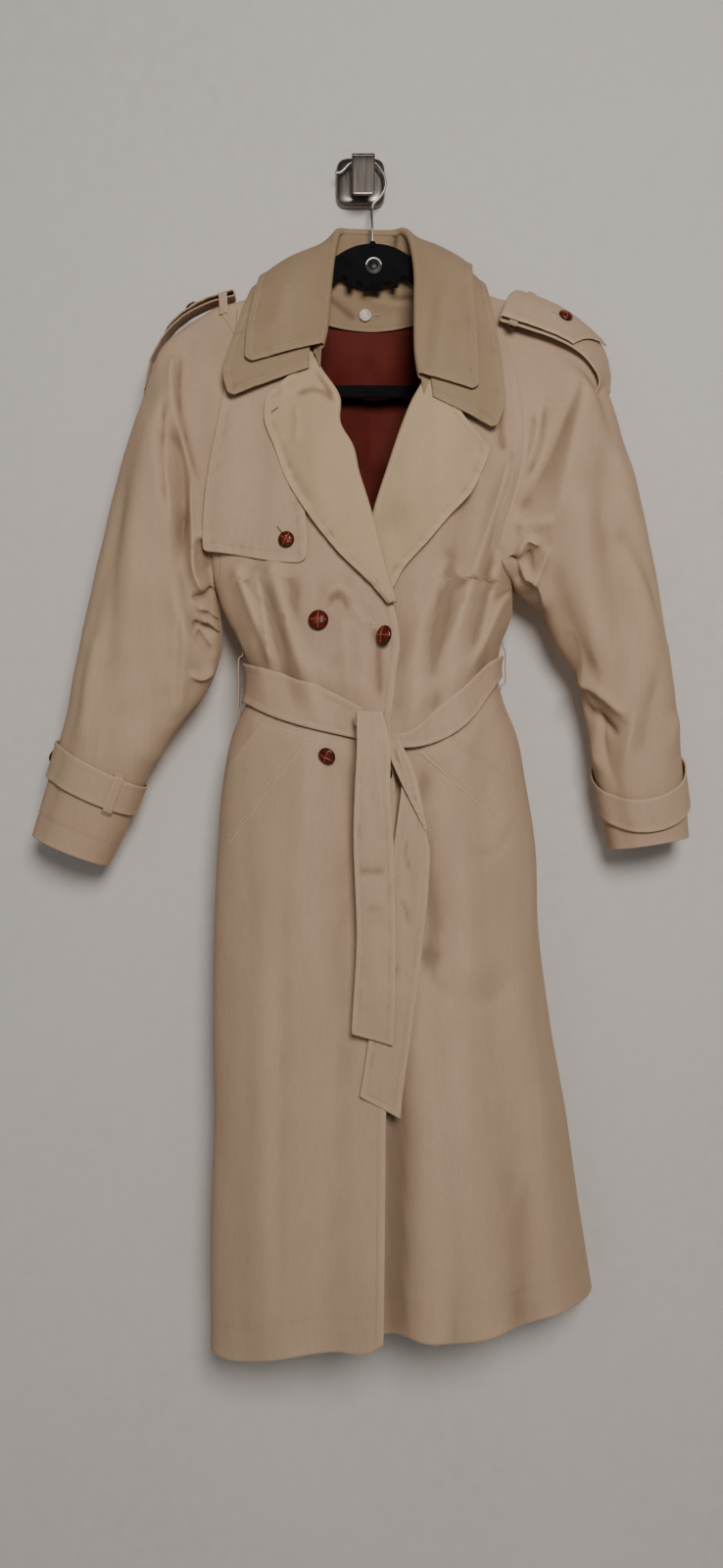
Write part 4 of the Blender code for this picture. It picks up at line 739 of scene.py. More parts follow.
def backSurface(x, z, left, right):
    # The back's outside with its creases; those that stand towards the room end softly at 4 mm
    u = (x - (left + right) / 2) / ((right - left) / 2)
    held = 1 - 0.85 * np.exp(-((z + 540) / 30) ** 4)
    lumps = creaseSum(x, z, back["creases"]) + 0.8 * ripple(x, z * 0.6, 50, 12)
    lumps = lumps + (0.2 + 0.7 * bell(z + 540, 80)) * crumple(x, z * 0.35, 36, 13)
    lumps = -limited(-limited(lumps, 1.5), 4.0)
    return backDepth(x, z) + lumps * held * ease((1 - np.abs(u)) / 0.12) * ease((backTop(x) - z) / 60)


def makeBack(piece):
    levels = np.linspace(*frontLevels, piece["levels"])
    share = crowd(piece["columns"], 2.5, 2.5, 0.05)[:, None]
    z = np.repeat(levels[None, :], piece["columns"], 0)
    for _ in range(3):
        left, right = backSides(z, levels)
        x = left + (right - left) * (share * 0.5 + 0.5 * (1 - np.cos(np.pi * share)) / 2)
        z = panelRows(levels, backTop, lambda at: readAcross(at, backHemRows), x)
    base = np.stack([x, z, backSurface(x, z, left, right)], -1)
    base[:, 0, 2] -= coat["seamGap"]
    below = int(np.argmax(levels <= coat["underarm"]))
    base[0, below:, 2] -= coat["seamGap"]
    base[-1, below:, 2] -= coat["seamGap"]
    far = edgeDistances(base)
    push = -0.15 * bell(far["high"] - 34, 2.2) - 1.0 * np.exp(-far["start"] / 1.5) - np.exp(-far["end"] / 1.5)
    wear = np.exp(-far["high"] / 2.5)
    overSeam = np.s_[np.abs(x[:, 0] - coat["neckCentre"]) > coat["neckHalf"] - 12, 0]
    fixed = ((overSeam, (0, 1.0, 0)), (np.s_[0, below:], (-1.0, 0, 0)), (np.s_[-1, below:], (1.0, 0, 0)))
    item, _, _ = makeCloth("back", base, coat["cloth"], (gabardine, lining), facing=(0, 0, -1),
                           fixed=fixed,
                           push=push, wear=wear, plainInside=far["high"] < 45)
    settle(item, ["back"])


makeBack(back)
print("fronts and back are in")

liningBack = {
    "columns": 64, "rows": 76, "left": -88, "right": 112, "top": -150, "bottom": -560, "cut": (0.205, 0.415),
    "creases": ((-20, -250, 0, -320, 30, -400, 12, 16, 2.5, 0.4), (60, -230, 40, -300, 20, -400, 12, 14, -2.0, 0),
                (-60, -260, -30, -300, 10, -350, 8, 10, 1.6, 0), (10, -200, 14, -240, 8, -330, 6, 9, -1.5, 0)),
}


def makeLining(piece):
    # Hangs inside the back and follows it: d = creased back + wall + gap + its own creases
    x = np.linspace(piece["left"], piece["right"], piece["columns"])[:, None]
    z = np.linspace(piece["top"], piece["bottom"], piece["rows"])[None, :]
    x, z = np.broadcast_arrays(x, z)
    left, right = backSides(z, z)
    own = creaseSum(x, z, piece["creases"]) + 0.5 * ripple(x, z, 40, 31)
    depth = backSurface(x, z, left, right) + coat["cloth"] + 3.0 + limited(own, 1.2)
    item, _, _ = makeCloth("lining_back", np.stack([x, z, depth], -1), 0.8, (lining,))
    settle(item, ["lining_back"])


makeLining(liningBack)

# Lapels: outer edge by the share of the roll's length (share, x, z)
lapelRight = {
    "top": -232, "end": -464, "cut": (0.092, 0.275, 0.0174), "lift": 9.2, "edgeLift": 6.7, "corner": 7, "tuck": 22,
    "rows": ((0.0, -94, -256), (0.08, -95, -275), (0.3, -84, -311), (0.44, -72, -343), (0.57, -54, -373),
             (0.70, -34, -400), (0.81, -16, -421), (0.92, 10, -446), (1.0, 27, -466)),
    "creases": ((-67, -263, -44, -253, -22, -271, 4, 5, -3, 0), (-65, -267, -61, -288, -66, -312, 5, 6, 2, 0),
                (-43, -227, -37, -245, -23, -261, 4, 4, -3, 0), (-35, -288, -43, -336, -21, -393, 12, 14, 2, 0),
                (-80, -297, -67, -336, -43, -374, 5, 6, -1.5, 0)),
}
lapelLeft = {
    "top": -256, "end": -478, "cut": (0.108, 0.275, 0.0191), "lift": 9.2, "edgeLift": 6.7, "corner": 6, "tuck": 30,
    "rows": ((0.0, 124, -303), (0.07, 127, -311), (0.17, 120, -333), (0.28, 109, -354), (0.42, 87, -378),
             (0.56, 67, -402), (0.70, 43, -428), (0.84, 26, -457), (1.0, -8, -488)),
    "creases": ((99, -297, 91, -355, 70, -403, 12, 14, -1.5, 0), (61, -288, 51, -336, 32, -393, 12, 14, 2, 0)),
}


def leftUnder(x, z):
    drop = 13.0 * ease((-z - 340) / 60) - 8.0 * ease((-z - 490) / 70)
    return frontDepth(x, z) - drop * ease((80 - x) / 52)


def makeLapel(name, isRight, piece):
    # Stations run down the roll; columns run round the roll's curl and out to the edge
    depthOf = frontDepth if isRight else leftUnder
    t = crowd(110, 3.0, 1.0, 0.06)[:, None]
    raised = piece["tuck"] * ease(1 - t / 0.13)
    rollZ = piece["top"] + (piece["end"] - piece["top"]) * t + raised
    rollX = readDown(rollZ, edgeRightRows if isRight else edgeLeftRows)
    edge = [readAcross(t, piece["rows"], k) for k in (1, 2)]
    s = crowd(46, 0.5, 3.0, 0.08)[None, :]
    x, z = rollX + (edge[0] - rollX) * s, rollZ + (edge[1] - rollZ) * s - 1.3 * raised * s * (1 - s)
    flat = roundCorners(np.stack([x, z, 0 * x], -1), (("start", "high", piece["corner"]),))
    x, z = flat[..., 0], flat[..., 1]
    lift = piece["lift"] + (piece["edgeLift"] - piece["lift"]) * s + 1.6 * np.sin(np.pi * s)
    lumps = creaseSum(x, z, piece["creases"]) + 0.45 * ripple(x, z, 40, 21 if isRight else 22)
    under = 0.28 * raised * (1 - s) ** 2
    flat = np.stack([x, z, depthOf(x, z) + lift - under + lumps * ease(s / 0.1)], -1)
    radius = (piece["lift"] - 1.0) / 2
    curl = np.radians(np.linspace(180, 12, 9))
    side = 1.0 if isRight else -1.0
    curlX, curlZ = rollX + side * radius * np.sin(curl), rollZ + 0 * curl
    curlD = depthOf(rollX, rollZ) + piece["lift"] - under[:, :1] - radius * (1 - np.cos(curl))
    base = np.concatenate([np.stack([curlX, curlZ, curlD], -1), flat], 1)
    push, wear = edgeFinish(base, ("start", "high"), seed=31 if isRight else 41, pucker=0.7)
    item, outer, normals = makeCloth(name, base, coat["cloth"], (gabardineLit,), push=push, wear=wear)
    settle(item, [name])
    return outer, normals


lapelRightShell = makeLapel("lapel_right", True, lapelRight)
lapelLeftShell = makeLapel("lapel_left", False, lapelLeft)

# Collar: the roll, the under leaf's edge, the upper leaf's share and the bow, right front round to left front
collar = {
    "stations": 150, "upperLift": 4.6, "cutUnder": (0.096, 0.615, 0.0468), "cutUpper": (0.11, 0.575, 0.0456),
          "cornerUpper": 8,
    "rows": (
        (-42, -228, 100, -130, -258, 98, 0.75, 2), (-41, -208, 97, -136, -234, 95, 0.75, 3),
        (-38, -190, 91, -131, -208, 88, 0.80, 4), (-36, -160, 79, -124, -182, 78, 0.84, 5),
        (-34, -125, 62, -117, -154, 68, 0.86, 6), (-32, -100, 47, -110, -130, 48, 0.86, 8),
        (-29, -80, 34, -100, -131, 28, 0.86, 10), (-24, -63, 22, -78, -150, 11, 0.86, 7),
        (-12, -59, 17, -36, -156, 8.0, 0.86, 3), (13, -60, 16, 13, -157, 7.2, 0.86, 2),
        (36, -60, 17, 62, -156, 8.0, 0.86, 3), (46, -62, 22, 100, -151, 11, 0.85, 7),
        (54, -75, 34, 118, -127, 27, 0.80, 10), (58, -96, 47, 127, -127, 49, 0.76, 9),
        (60, -125, 62, 132, -154, 68, 0.72, 6), (59, -165, 79, 138, -195, 80, 0.70, 5),
        (59, -212, 92, 142, -238, 92, 0.68, 4), (62, -238, 98, 143, -264, 97, 0.66, 3),
        (65, -256, 101, 134, -291, 100, 0.66, 2)),
    "creases": ((73, -140, 69, -188, 63, -232, 8, 8, -1.1, 0), (95, -166, 90, -204, 86, -240, 9, 9, -0.9, 0),
                (-73, -130, -79, -174, -96, -203, 9, 12, 1.3, 0), (84, -140, 82, -180, 76, -234, 8, 9, 0.9, 0)),
}


def collarBase(station, t):
    # A bow from the roll to the under leaf's edge: (1-t)^2 R + 2t(1-t) C + t^2 E
    r = readRows(station, collar["rows"])
    roll, edge = r[..., 0:3], r[..., 3:6]
    after, before = readRows(station + 0.05, collar["rows"]), readRows(station - 0.05, collar["rows"])
    run = (after - before)[..., 0:3] + (after - before)[..., 3:6]
    out = unit(np.cross(run, edge - roll))
    outward = (roll + edge) / 2 - np.array((coat["neckCentre"], -200, 45))
    out = np.where(np.sum(out * outward, -1, keepdims=True) < 0, -out, out)
    control = (roll + edge) / 2 + 2 * r[..., 7:8] * out
    t = t[..., None]
    return (1 - t) ** 2 * roll + 2 * t * (1 - t) * control + t ** 2 * edge


def inwardFrom(roll):
    return unit(np.stack([coat["neckCentre"] - roll[:, 0], 0 * roll[:, 0], 46 - roll[:, 2]], -1))


def makeCollarLeaf(name, upper):
    last = len(collar["rows"]) - 1
    near, far = (1, last - 1) if upper else (0, last)
    station = (near + (far - near) * crowd(collar["stations"], 1.5, 1.5, 0.05))[:, None]
    share = readRows(station[:, 0], collar["rows"])[:, 6:7] if upper else 1.0
    t = crowd(40, 0.5, 2.0, 0.1)[None, :] if upper else 0.1 + 0.9 * crowd(40, 0.0, 2.0, 0.1)[None, :]
    base = collarBase(station + 0 * t, t * share)
    corner = collar["cornerUpper"] if upper else 7
    base = roundCorners(base, (("start", "high", corner), ("end", "high", corner)))
    normals = facingNormals(base, False, (0, 0, -1))
    lumps = creaseSum(base[..., 0], base[..., 1], collar["creases"]) * (base[..., 2] > 45) if upper else 0.0
    lumps = lumps + 0.5 * ripple(base[..., 0] + base[..., 2], base[..., 1], 42, 51 + upper)
    lift = (collar["upperLift"] if upper else 0.0) + lumps * ease(t / 0.2)
    base = base + (lift + 0 * base[..., 0])[..., None] * normals
    push, wear = edgeFinish(base, ("start", "end", "high"), seed=61 + upper, pucker=0.5)
    if upper:
        # Half round: middle - half cos(turn) + |half| sin(turn) up, from the facing to the leaf
        roll = readRows(station, collar["rows"])[:, 0, 0:3]
        inside = roll + 4.4 * inwardFrom(roll) + np.array((0, -2.2, 0))
        middle, half = (base[:, 0] + inside) / 2, (base[:, 0] - inside) / 2
        size = np.linalg.norm(half, axis=1, keepdims=True)
        up = base[:, 0] - base[:, 1]
        up = unit(up - np.sum(up * half, 1, keepdims=True) / size ** 2 * half)
        turn = np.radians(np.linspace(-20, 165, 9))[None, :, None]
        curl = middle[:, None] - half[:, None] * np.cos(turn) + (size * up)[:, None] * np.sin(turn)
        base = np.concatenate([curl, base], 1)
        push, wear = (np.concatenate([np.repeat(a[:, :1], 9, 1) * 0, a], 1) for a in (push, wear))
    item, outer, normals = makeCloth(name, base, coat["cloth"], (gabardineShaded,), facing=(0, 0, -1), push=push,
                                     wear=wear)
    settle(item, [name])
    return outer, normals


collarUnderShell = makeCollarLeaf("collar_under", False)
collarUpperShell = makeCollarLeaf("collar_upper", True)

facing = {
    "cut": (0.105, 0.515, 0.0170), "columns": 140,
    "bottom": ((-46, -212, 90), (-46, -192, 82), (-46, -160, 66), (-45, -128, 52), (-42, -110, 42), (-42, -104, 35),
               (-56, -148, 27), (-36, -158, 23), (-12, -162.5, 20), (13, -164, 18.8), (38, -162, 20),
               (60, -157, 23),
               (80, -147, 28), (68, -103, 36), (70, -108, 44), (70, -128, 52), (70, -164, 68), (70, -208, 84),
               (71, -234, 92)),
    "creases": ((-4, -120, 19, -134, 66, -141, 3.5, 5, 2.0, 0.5), (-38, -127, -21, -139, -2, -154, 3, 4, -1.4, 0),
                (-30, -117, -16, -120, -1, -125, 3, 4, 1.2, 0), (28, -131, 46, -129, 66, -131, 3, 4, -1.1, 0),
                (46, -117, 54, -123, 66, -129, 3, 4, 1.2, 0), (37, -60, 35, -74, 34, -90, 3, 4, -2.0, 0)),
}


def makeFacing(piece):
    # Inside of the collar stand, from the roll down to a curved seam over the lining
    station = (np.linspace(0, len(collar["rows"]) - 1, piece["columns"]))[:, None]
    bottom = readRows(station, piece["bottom"])[:, 0]
    roll = readRows(station, collar["rows"])[:, 0, 0:3]
    top = roll + 3.5 * inwardFrom(roll) + np.array((0, -1.2, 0))
    s = crowd(44, 1.0, 2.0, 0.08)[None, :, None]
    base = top[:, None] * (1 - s) + bottom[:, None] * s
    push, wear = edgeFinish(base, ("high",), inset=3.0, rise=0.3, pucker=0.3, seed=71)
    lumps = creaseSum(base[..., 0], base[..., 1], piece["creases"]) + 0.4 * ripple(base[..., 0], base[..., 1], 30,
                                                                                   72)
    push = push + lumps * ease((36 - base[..., 2]) / 6) * ease((1 - s[..., 0]) / 0.1)
    item, outer, normals = makeCloth("neck_facing", base, coat["cloth"], (gabardineShaded,), push=push, wear=wear)
    settle(item, ["neck_facing"])
    return outer, normals


facingShell = makeFacing(facing)
print("lapels and collar are in")

# Sleeves: outer x and z, inner x and z, front and back depth, armhole to cuff
sleeveRight = {
    "cut": (0.46, 0.59, 0.172), "around": (112, 54), "along": 200,
    "rows": ((-149.3, -149, -149.3, -440, 92, 9), (-178, -169, -147, -452, 93, 9), (-201, -190, -145, -466, 94, 9),
             (-214, -219, -143, -482, 95, 8), (-231, -275, -143, -502, 95, 8), (-249, -330, -149, -528, 94, 8),
             (-264, -390, -162, -552, 92, 8), (-278, -450, -180, -574, 89, 7), (-290, -505, -196, -596, 86, 7),
             (-301, -561, -212, -622, 82, 7), (-313, -607, -227, -650, 79, 7), (-326, -650, -242, -688, 77, 7),
             (-339, -694, -261, -726, 75, 7)),
    "folds": ((60, -6, -0.1, 0.75, 16, 5), (92, 6, -0.1, 0.7, 14, -4), (120, 14, 0.02, 0.5, 12, 5),
              (150, -16, 0.05, 0.42, 10, -5), (40, 4, 0.2, 1.1, 16, -3), (110, 40, 0.38, 0.62, 11, 5)),
    "front": (
        (-187, -206, -185, -260, -162, -353, 5, 7, 4, -0.5), (-197, -290, -184, -400, -163, -515, 9, 10, 6, -0.7),
        (-181, -200, -180, -268, -158, -356, 4, 5, -3.5, 0), (-194, -258, -197, -312, -190, -390, 4, 6, -3.5, 0),
        (-193, -282, -178, -330, -178, -430, 5, 6, -8, 0), (-178, -360, -178, -440, -155, -512, 6, 6, -9, 0),
        (-170, -330, -168, -395, -167, -445, 5, 5, 4, 0), (-157, -394, -156, -416, -150, -442, 6, 7, -8, 0),
        (-164, -388, -166, -424, -156, -452, 4, 4, 4.5, 0.4), (-179, -455, -182, -510, -187, -575, 3, 3, -1.4, 0),
        (-214, -245, -222, -348, -229, -495, 14, 18, 4, 0), (-234, -319, -248, -446, -261, -573, 10, 14, -4, 0),
        (-170, -459, -157, -455, -142, -449, 3, 3, -5, 0), (-166, -466, -154, -465, -142, -474, 4, 5, 4.5, 0),
        (-168, -482, -157, -487, -144, -491, 3, 3, -4, 0), (-163, -490, -156, -500, -147, -514, 3, 3, -4, 0),
        (-160, -478, -150, -480, -142, -486, 4, 4, 3.5, 0), (-174, -526, -160, -532, -146, -516, 3, 4, 4, 0.4),
        (-187, -536, -217, -565, -263, -569, 12, 14, -1.6, 0), (-177, -546, -200, -588, -234, -620, 12, 13, 2, 0),
        (-264, -485, -273, -544, -283, -608, 10, 12, 3, 0)),
    "rear": (
        (-182, -230, -190, -320, -186, -420, 9, 12, 3, 0.3), (-210, -260, -226, -380, -240, -500, 12, 16, 4, 0),
        (-160, -440, -176, -480, -196, -520, 5, 7, 3, 0), (-180, -540, -215, -560, -262, -560, 8, 10, 3, 0),
        (-240, -440, -262, -520, -286, -610, 10, 12, 3, 0)),
}
sleeveLeft = {
    "cut": (0.45, 0.605, 0.172), "around": (112, 54), "along": 200,
    "rows": ((157.3, -147, 157.3, -440, 88, 9), (188, -161, 160, -446, 90, 9), (214, -177, 168, -452, 92, 9),
             (233, -196, 178, -458, 93, 8), (248, -226, 187, -466, 93, 8), (265, -275, 193, -482, 92, 8),
             (282, -335, 203, -502, 90, 8), (297, -400, 216, -520, 88, 7), (309, -460, 226, -540, 86, 7),
             (319, -515, 231, -568, 84, 7), (326, -570, 237, -602, 82, 7), (331, -620, 244, -640, 80, 7),
             (336, -660, 251, -676, 78, 7), (339, -696, 258, -709, 76, 7)),
    "folds": ((120, 6, -0.1, 0.75, 16, 5), (88, -6, -0.1, 0.7, 14, -4), (60, -14, 0.02, 0.5, 12, 5),
              (30, 16, 0.05, 0.42, 10, -5), (140, -4, 0.2, 1.1, 16, -3), (75, -60, 0.42, 0.68, 12, -7)),
    "front": (
        (223, -226, 187, -326, 154, -380, 8, 12, -7, 0), (226, -226, 210, -305, 193, -392, 11, 16, 5.5, 0.3),
        (185, -249, 180, -300, 165, -341, 4, 5, -3, 0), (174, -266, 173, -290, 167, -321, 3, 4, -2, 0),
        (152, -384, 172, -377, 196, -382, 6, 7, 4.5, -0.4), (158, -420, 166, -395, 186, -406, 5, 6, 6, 0),
        (150, -412, 156, -427, 163, -441, 5, 6, -6, 0), (166, -404, 171, -418, 173, -430, 5, 5, -3.5, 0),
        (188, -398, 183, -418, 172, -438, 6, 6, 4, 0), (156, -440, 178, -433, 190, -474, 5, 6, 6, 0.5),
        (160, -450, 171, -462, 180, -486, 6, 8, -5, 0),
        (249, -291, 244, -388, 275, -544, 10, 14, -4, 0), (267, -290, 279, -407, 298, -544, 12, 16, 3, 0),
        (228, -329, 226, -427, 253, -544, 12, 16, 4, 0), (216, -524, 244, -551, 272, -580, 6, 7, 6, 0.5),
        (210, -540, 236, -572, 264, -596, 6, 7, -4, 0), (226, -588, 243, -622, 262, -656, 6, 8, 3.5, 0.3),
        (240, -560, 246, -610, 262, -650, 5, 6, -3, 0), (304, -515, 286, -590, 276, -655, 9, 12, -3.5, 0),
        (278, -560, 268, -610, 264, -655, 7, 8, 3, 0), (322, -560, 312, -610, 300, -655, 9, 11, 3, 0)),
    "rear": (
        (196, -220, 204, -310, 196, -400, 9, 12, 3, 0.3), (226, -250, 246, -370, 262, -500, 12, 16, 4, 0),
        (170, -440, 190, -476, 214, -510, 5, 7, 3, 0), (226, -540, 262, -548, 300, -560, 8, 10, 3, 0),
        (280, -430, 296, -520, 312, -610, 10, 12, 3, 0)),
}


def sleevePoint(piece, angle, v, lift):
    # A bowed oval from the outer edge (0 degrees) over the front (90) to the inner edge (180),
    # with its creases along the outward direction, less near the armhole and under the strap
    angle, v, lift = np.broadcast_arrays(np.asarray(angle, float), np.asarray(v, float), np.asarray(lift, float))
    rows = piece["rows"]
    r = readRows(v * (len(rows) - 1), rows)
    c, s = np.cos(np.radians(angle)), np.sin(np.radians(angle))
    halfX, halfZ = (r[..., 0] - r[..., 2]) / 2, (r[..., 1] - r[..., 3]) / 2
    x, z = (r[..., 0] + r[..., 2]) / 2 + halfX * c, (r[..., 1] + r[..., 3]) / 2 + halfZ * c
    d = (r[..., 4] + r[..., 5]) / 2 + (r[..., 4] - r[..., 5]) / 2 * np.sign(s) * np.abs(s) ** 0.9
    seamX = rows[0][0]
    seamZ = (rows[0][1] + rows[0][3]) / 2 + (rows[0][1] - rows[0][3]) / 2 * c
    hold = 1 - ease(v * (len(rows) - 1) / 3)
    isLeft = seamX > 0
    line = readDown(seamZ, armholeLeftRows if isLeft else armholeRightRows)
    shift = np.where(s > 0, line - coat["armholeLeft" if isLeft else "armholeRight"], 0.0)
    tuck = np.exp(-v / 0.006)
    x = x + shift * hold - (2.5 if isLeft else -2.5) * tuck * np.abs(s)
    seamD = np.where(s >= 0, (leftLook if isLeft else frontLook)(seamX + shift, seamZ), backDepth(seamX, seamZ))
    d = d + (seamD - d) * hold - 1.3 * tuck * s
    size = np.hypot(halfX, halfZ)
    out = np.stack([halfX / size * c, halfZ / size * c, s], -1)
    push = np.zeros_like(v)
    for middle, turn, first, last, width, height in piece["folds"]:
        along = (v - first) / (last - first)
        fade = ease(along / 0.25) * ease((1 - along) / 0.25)
        push += height * fade * bell(angle - middle - turn * along, width)
    lumps = np.where(s > 0, creaseSum(x, z, piece["front"]) * ease(s / 0.3),
                     creaseSum(x, z, piece["rear"]) * ease(-s / 0.3))
    bent = bell(v - 0.55, 0.2) * (0.5 - 0.5 * c)
    lumps = lumps + 0.8 * ripple(x + d, z, 60, 81) + (0.15 + 0.7 * bent) * crumple(x * 0.7 + d, z * 0.6, 40, 82)
    calm = ease(v / 0.04) * (1 - 0.8 * ease((v - 0.78) / 0.06))
    return np.stack([x, z, d], -1) + (push * (1 - hold) + lumps * calm + lift)[..., None] * out


def makeSleeve(name, piece):
    fore, rear = piece["around"]
    angle = np.concatenate([180.0 * np.arange(fore) / fore, 180 + 180.0 * np.arange(rear) / rear])[:, None]
    v = crowd(piece["along"], 1.5, 2.0, 0.04)[None, :]
    base = sleevePoint(piece, angle, v, 0.0)
    far = edgeDistances(base)
    push = -0.3 * np.exp(-far["low"] / 1.2) - 0.45 * bell(far["high"] - 24, 1.2)
    push = push - 0.6 * bell(angle - 207, 2.6)
    wear = np.exp(-far["high"] / 2.5)
    item, outer, normals = makeCloth(name, base, coat["cloth"], (gabardine, lining), closed=True, push=push,
                                     wear=wear,
                                     plainInside=far["high"] < 30)
    settle(item, [name])
    return outer, normals


sleeveRightShell = makeSleeve("sleeve_right", sleeveRight)
sleeveLeftShell = makeSleeve("sleeve_left", sleeveLeft)
print("sleeves are in")

cuffRight = {"from": -30, "turn": 385, "middle": 0.85, "dip": 0.008, "halfWidth": 0.033, "slack": 2.5,
             "loopAngle": 122, "buttonAngle": 346, "cut": (0.036, 0.318, 0.0105), "cutLoop": (0.010, 0.048),
             "wall": 1.4}
cuffLeft = {"from": -60, "turn": 385, "middle": 0.876, "dip": 0.058, "halfWidth": 0.035, "slack": 2.5,
            "loopAngle": 236, "buttonAngle": 314, "cut": (0.042, 0.345, 0.0123), "cutLoop": (0.010, 0.051),
            "wall": 1.4}


def strapLift(strap, angle):
    over = ease((angle - strap["from"] - 325) / 30)
    return 2.2 * (1 + over) + strap["slack"] * (1 + np.sin(np.radians(angle))) / 2


def makeBand(name, path, halfWidth, widthAxis, thickness, looks, facing, across=5):
    # A narrow band carried along a smooth path of (x, z, d) points
    path = np.asarray(path, float)
    path = readRows(np.linspace(0, len(path) - 1, len(path) * 6), path)
    s = np.linspace(-1, 1, across)[None, :, None]
    side = s * halfWidth * unit(np.asarray(widthAxis, float))
    return makeCloth(name, path[:, None] + side, thickness, looks, facing=facing,
                     wear=np.repeat(np.abs(s[0, :, 0])[None], len(path), 0) ** 4)


buttonShape = {"rings": 15, "sides": 56, "height": 6.4, "groove": 0.55}


def makeButton(name, seat, axis, radius, looks, nodes, turn=0.0, tilt=(0.0, 0.0)):
    # Dome: h = height * root(1 - (0.93 r)^2), with two crossed grooves and a bevelled foot;
    # tilt leans it to the side and up, about its own middle
    axis = unit(np.asarray(axis, float))
    lean = unit(axis + np.array((tilt[0], tilt[1], 0.0)))
    seat = np.asarray(seat, float) + (axis - lean) * 3.0 + axis * 3.0 * np.hypot(*tilt)
    axis = lean
    across = unit(np.cross(axis, (0.02, 1.0, 0.0)))
    other = np.cross(axis, across)
    around = 2 * np.pi * np.arange(buttonShape["sides"]) / buttonShape["sides"]
    r = np.concatenate([np.linspace(0.04, 0.96, buttonShape["rings"]), (1.0, 0.99, 0.80)])[:, None]
    x, y = r * np.cos(around), r * np.sin(around)
    u, v = x * np.cos(turn) - y * np.sin(turn), x * np.sin(turn) + y * np.cos(turn)
    height = buttonShape["height"] * radius / 10
    h = height * np.sqrt(1 - (0.93 * np.minimum(r, 1)) ** 2) + 0 * x
    near = np.minimum(np.abs(u), np.abs(v)) * radius
    h = h - buttonShape["groove"] * (bell(near - 0.9, 0.45)) + 0.25 * bell(near, 0.5)
    h[-3:] = np.array((1.6, 0.9, 0.0))[:, None]
    points = np.asarray(seat) + radius * (x[..., None] * across + y[..., None] * other) + h[..., None] * axis
    rings, sides = x.shape
    number = np.arange(rings * sides).reshape(rings, sides)
    quads = ringQuads(number)
    tip, foot = rings * sides, rings * sides + 1
    caps = [np.stack([number[0], np.roll(number[0], -1), np.full(sides, tip)], -1),
            np.stack([np.roll(number[-1], -1), number[-1], np.full(sides, foot)], -1)]
    centre = np.asarray(seat)[None] + np.array((height, 0.0))[:, None] * axis
    uv = np.concatenate([np.stack([u, v], -1).reshape(-1, 2), np.zeros((2, 2))])
    item = meshFrom(name, np.concatenate([points.reshape(-1, 3), centre]), [quads] + caps, looks, uv=uv, sharp=1.3)
    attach(item, "root")
    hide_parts(*nodes)
    return item


def makeCuffStrap(side, piece, strap):
    # A strap once round the sleeve; its pointed end laps over its start
    angle = (strap["from"] + strap["turn"] * crowd(150, 0.5, 2.0, 0.05))[:, None]
    point = ease((angle - strap["from"] - strap["turn"] + 16) / 16)
    across = crowd(15, 1.0, 1.0, 0.1)[None, :] * 2 - 1
    middle = strap["middle"] + strap["dip"] * np.sin(np.radians(angle))
    v = middle + across * strap["halfWidth"] * (1 - 0.6 * point)
    base = sleevePoint(piece, angle, v, strapLift(strap, angle))
    under = sleevePoint(piece, angle[75:76], v[75:76], 0.0)
    push, wear = edgeFinish(base, ("low", "high", "end"), inset=4.5, rise=0.3, pucker=0.25, seed=91)
    item, outer, normals = makeCloth("cuff_strap_" + side, base, strap["wall"], (gabardine,), push=push, wear=wear,
                                     facing=(base[75] - under[0])[7])
    settle(item, ["cuff_strap_" + side])
    turn = strap["loopAngle"]
    near, far = 2.2, strapLift(strap, turn) + 1.9
    v = strap["middle"] + strap["dip"] * np.sin(np.radians(turn))
    v = v + strap["halfWidth"] * np.array((-1.36, -1.26, -1.08, 0.0, 1.08, 1.26, 1.36))
    path = sleevePoint(piece, turn, v, np.array((near, near + 0.8, far, far, far, near + 0.8, near)))
    along = sleevePoint(piece, turn + 3, v[3], far) - sleevePoint(piece, turn - 3, v[3], far)
    loop, _, _ = makeBand("cuff_loop_" + side, path, 4.5, along, 1.2, (gabardine,),
                          path[3] - sleevePoint(piece, turn, v[3], 0.0))
    settle(loop, ["cuff_loop_" + side])
    turn = strap["buttonAngle"]
    v = strap["middle"] + strap["dip"] * np.sin(np.radians(turn))
    lift = strapLift(strap, turn) + 0.7
    seat = sleevePoint(piece, turn, v, lift)
    makeButton("button_cuff_" + side, seat, sleevePoint(piece, turn, v, lift + 1) - seat, 7.5, (leather,),
               ["button_cuff_" + side], 0.4)
    return outer, normals


cuffRightShell = makeCuffStrap("right", sleeveRight, cuffRight)
cuffLeftShell = makeCuffStrap("left", sleeveLeft, cuffLeft)

flap = {
    "lift": 3.6, "cut": (0.107, 0.315, 0.0242), "corner": 9,
    "left": ((-150, -124), (-206, -128), (-262, -138), (-297, -145), (-355, -154), (-390, -156.5), (-418, -156)),
    "flatFrom": -130.0,
    "right": ((-150, -68), (-240, -72), (-330, -62), (-380, -54), (-430, -52)),
    "bottom": ((-155, -409), (-126, -413), (-100, -419), (-80, -423), (-64, -424), (-52, -424)),
    "creases": ((-96, -250, -108, -350, -118, -450, 14, 17, -1.5, 0),
                (-123, -250, -132, -350, -136, -450, 11, 13, 1.3, 0),
                (-76, -250, -80, -336, -88, -420, 13, 15, 1.3, 0)),
}


def flapDepth(x, z):
    # Past flatFrom the flap no longer follows the coat round its side but hangs over the sleeve
    inner = flap["flatFrom"] + 4 * np.logaddexp(0, (x - flap["flatFrom"]) / 4)
    return frontDepth(inner, z) + 0.06 * (x - inner)


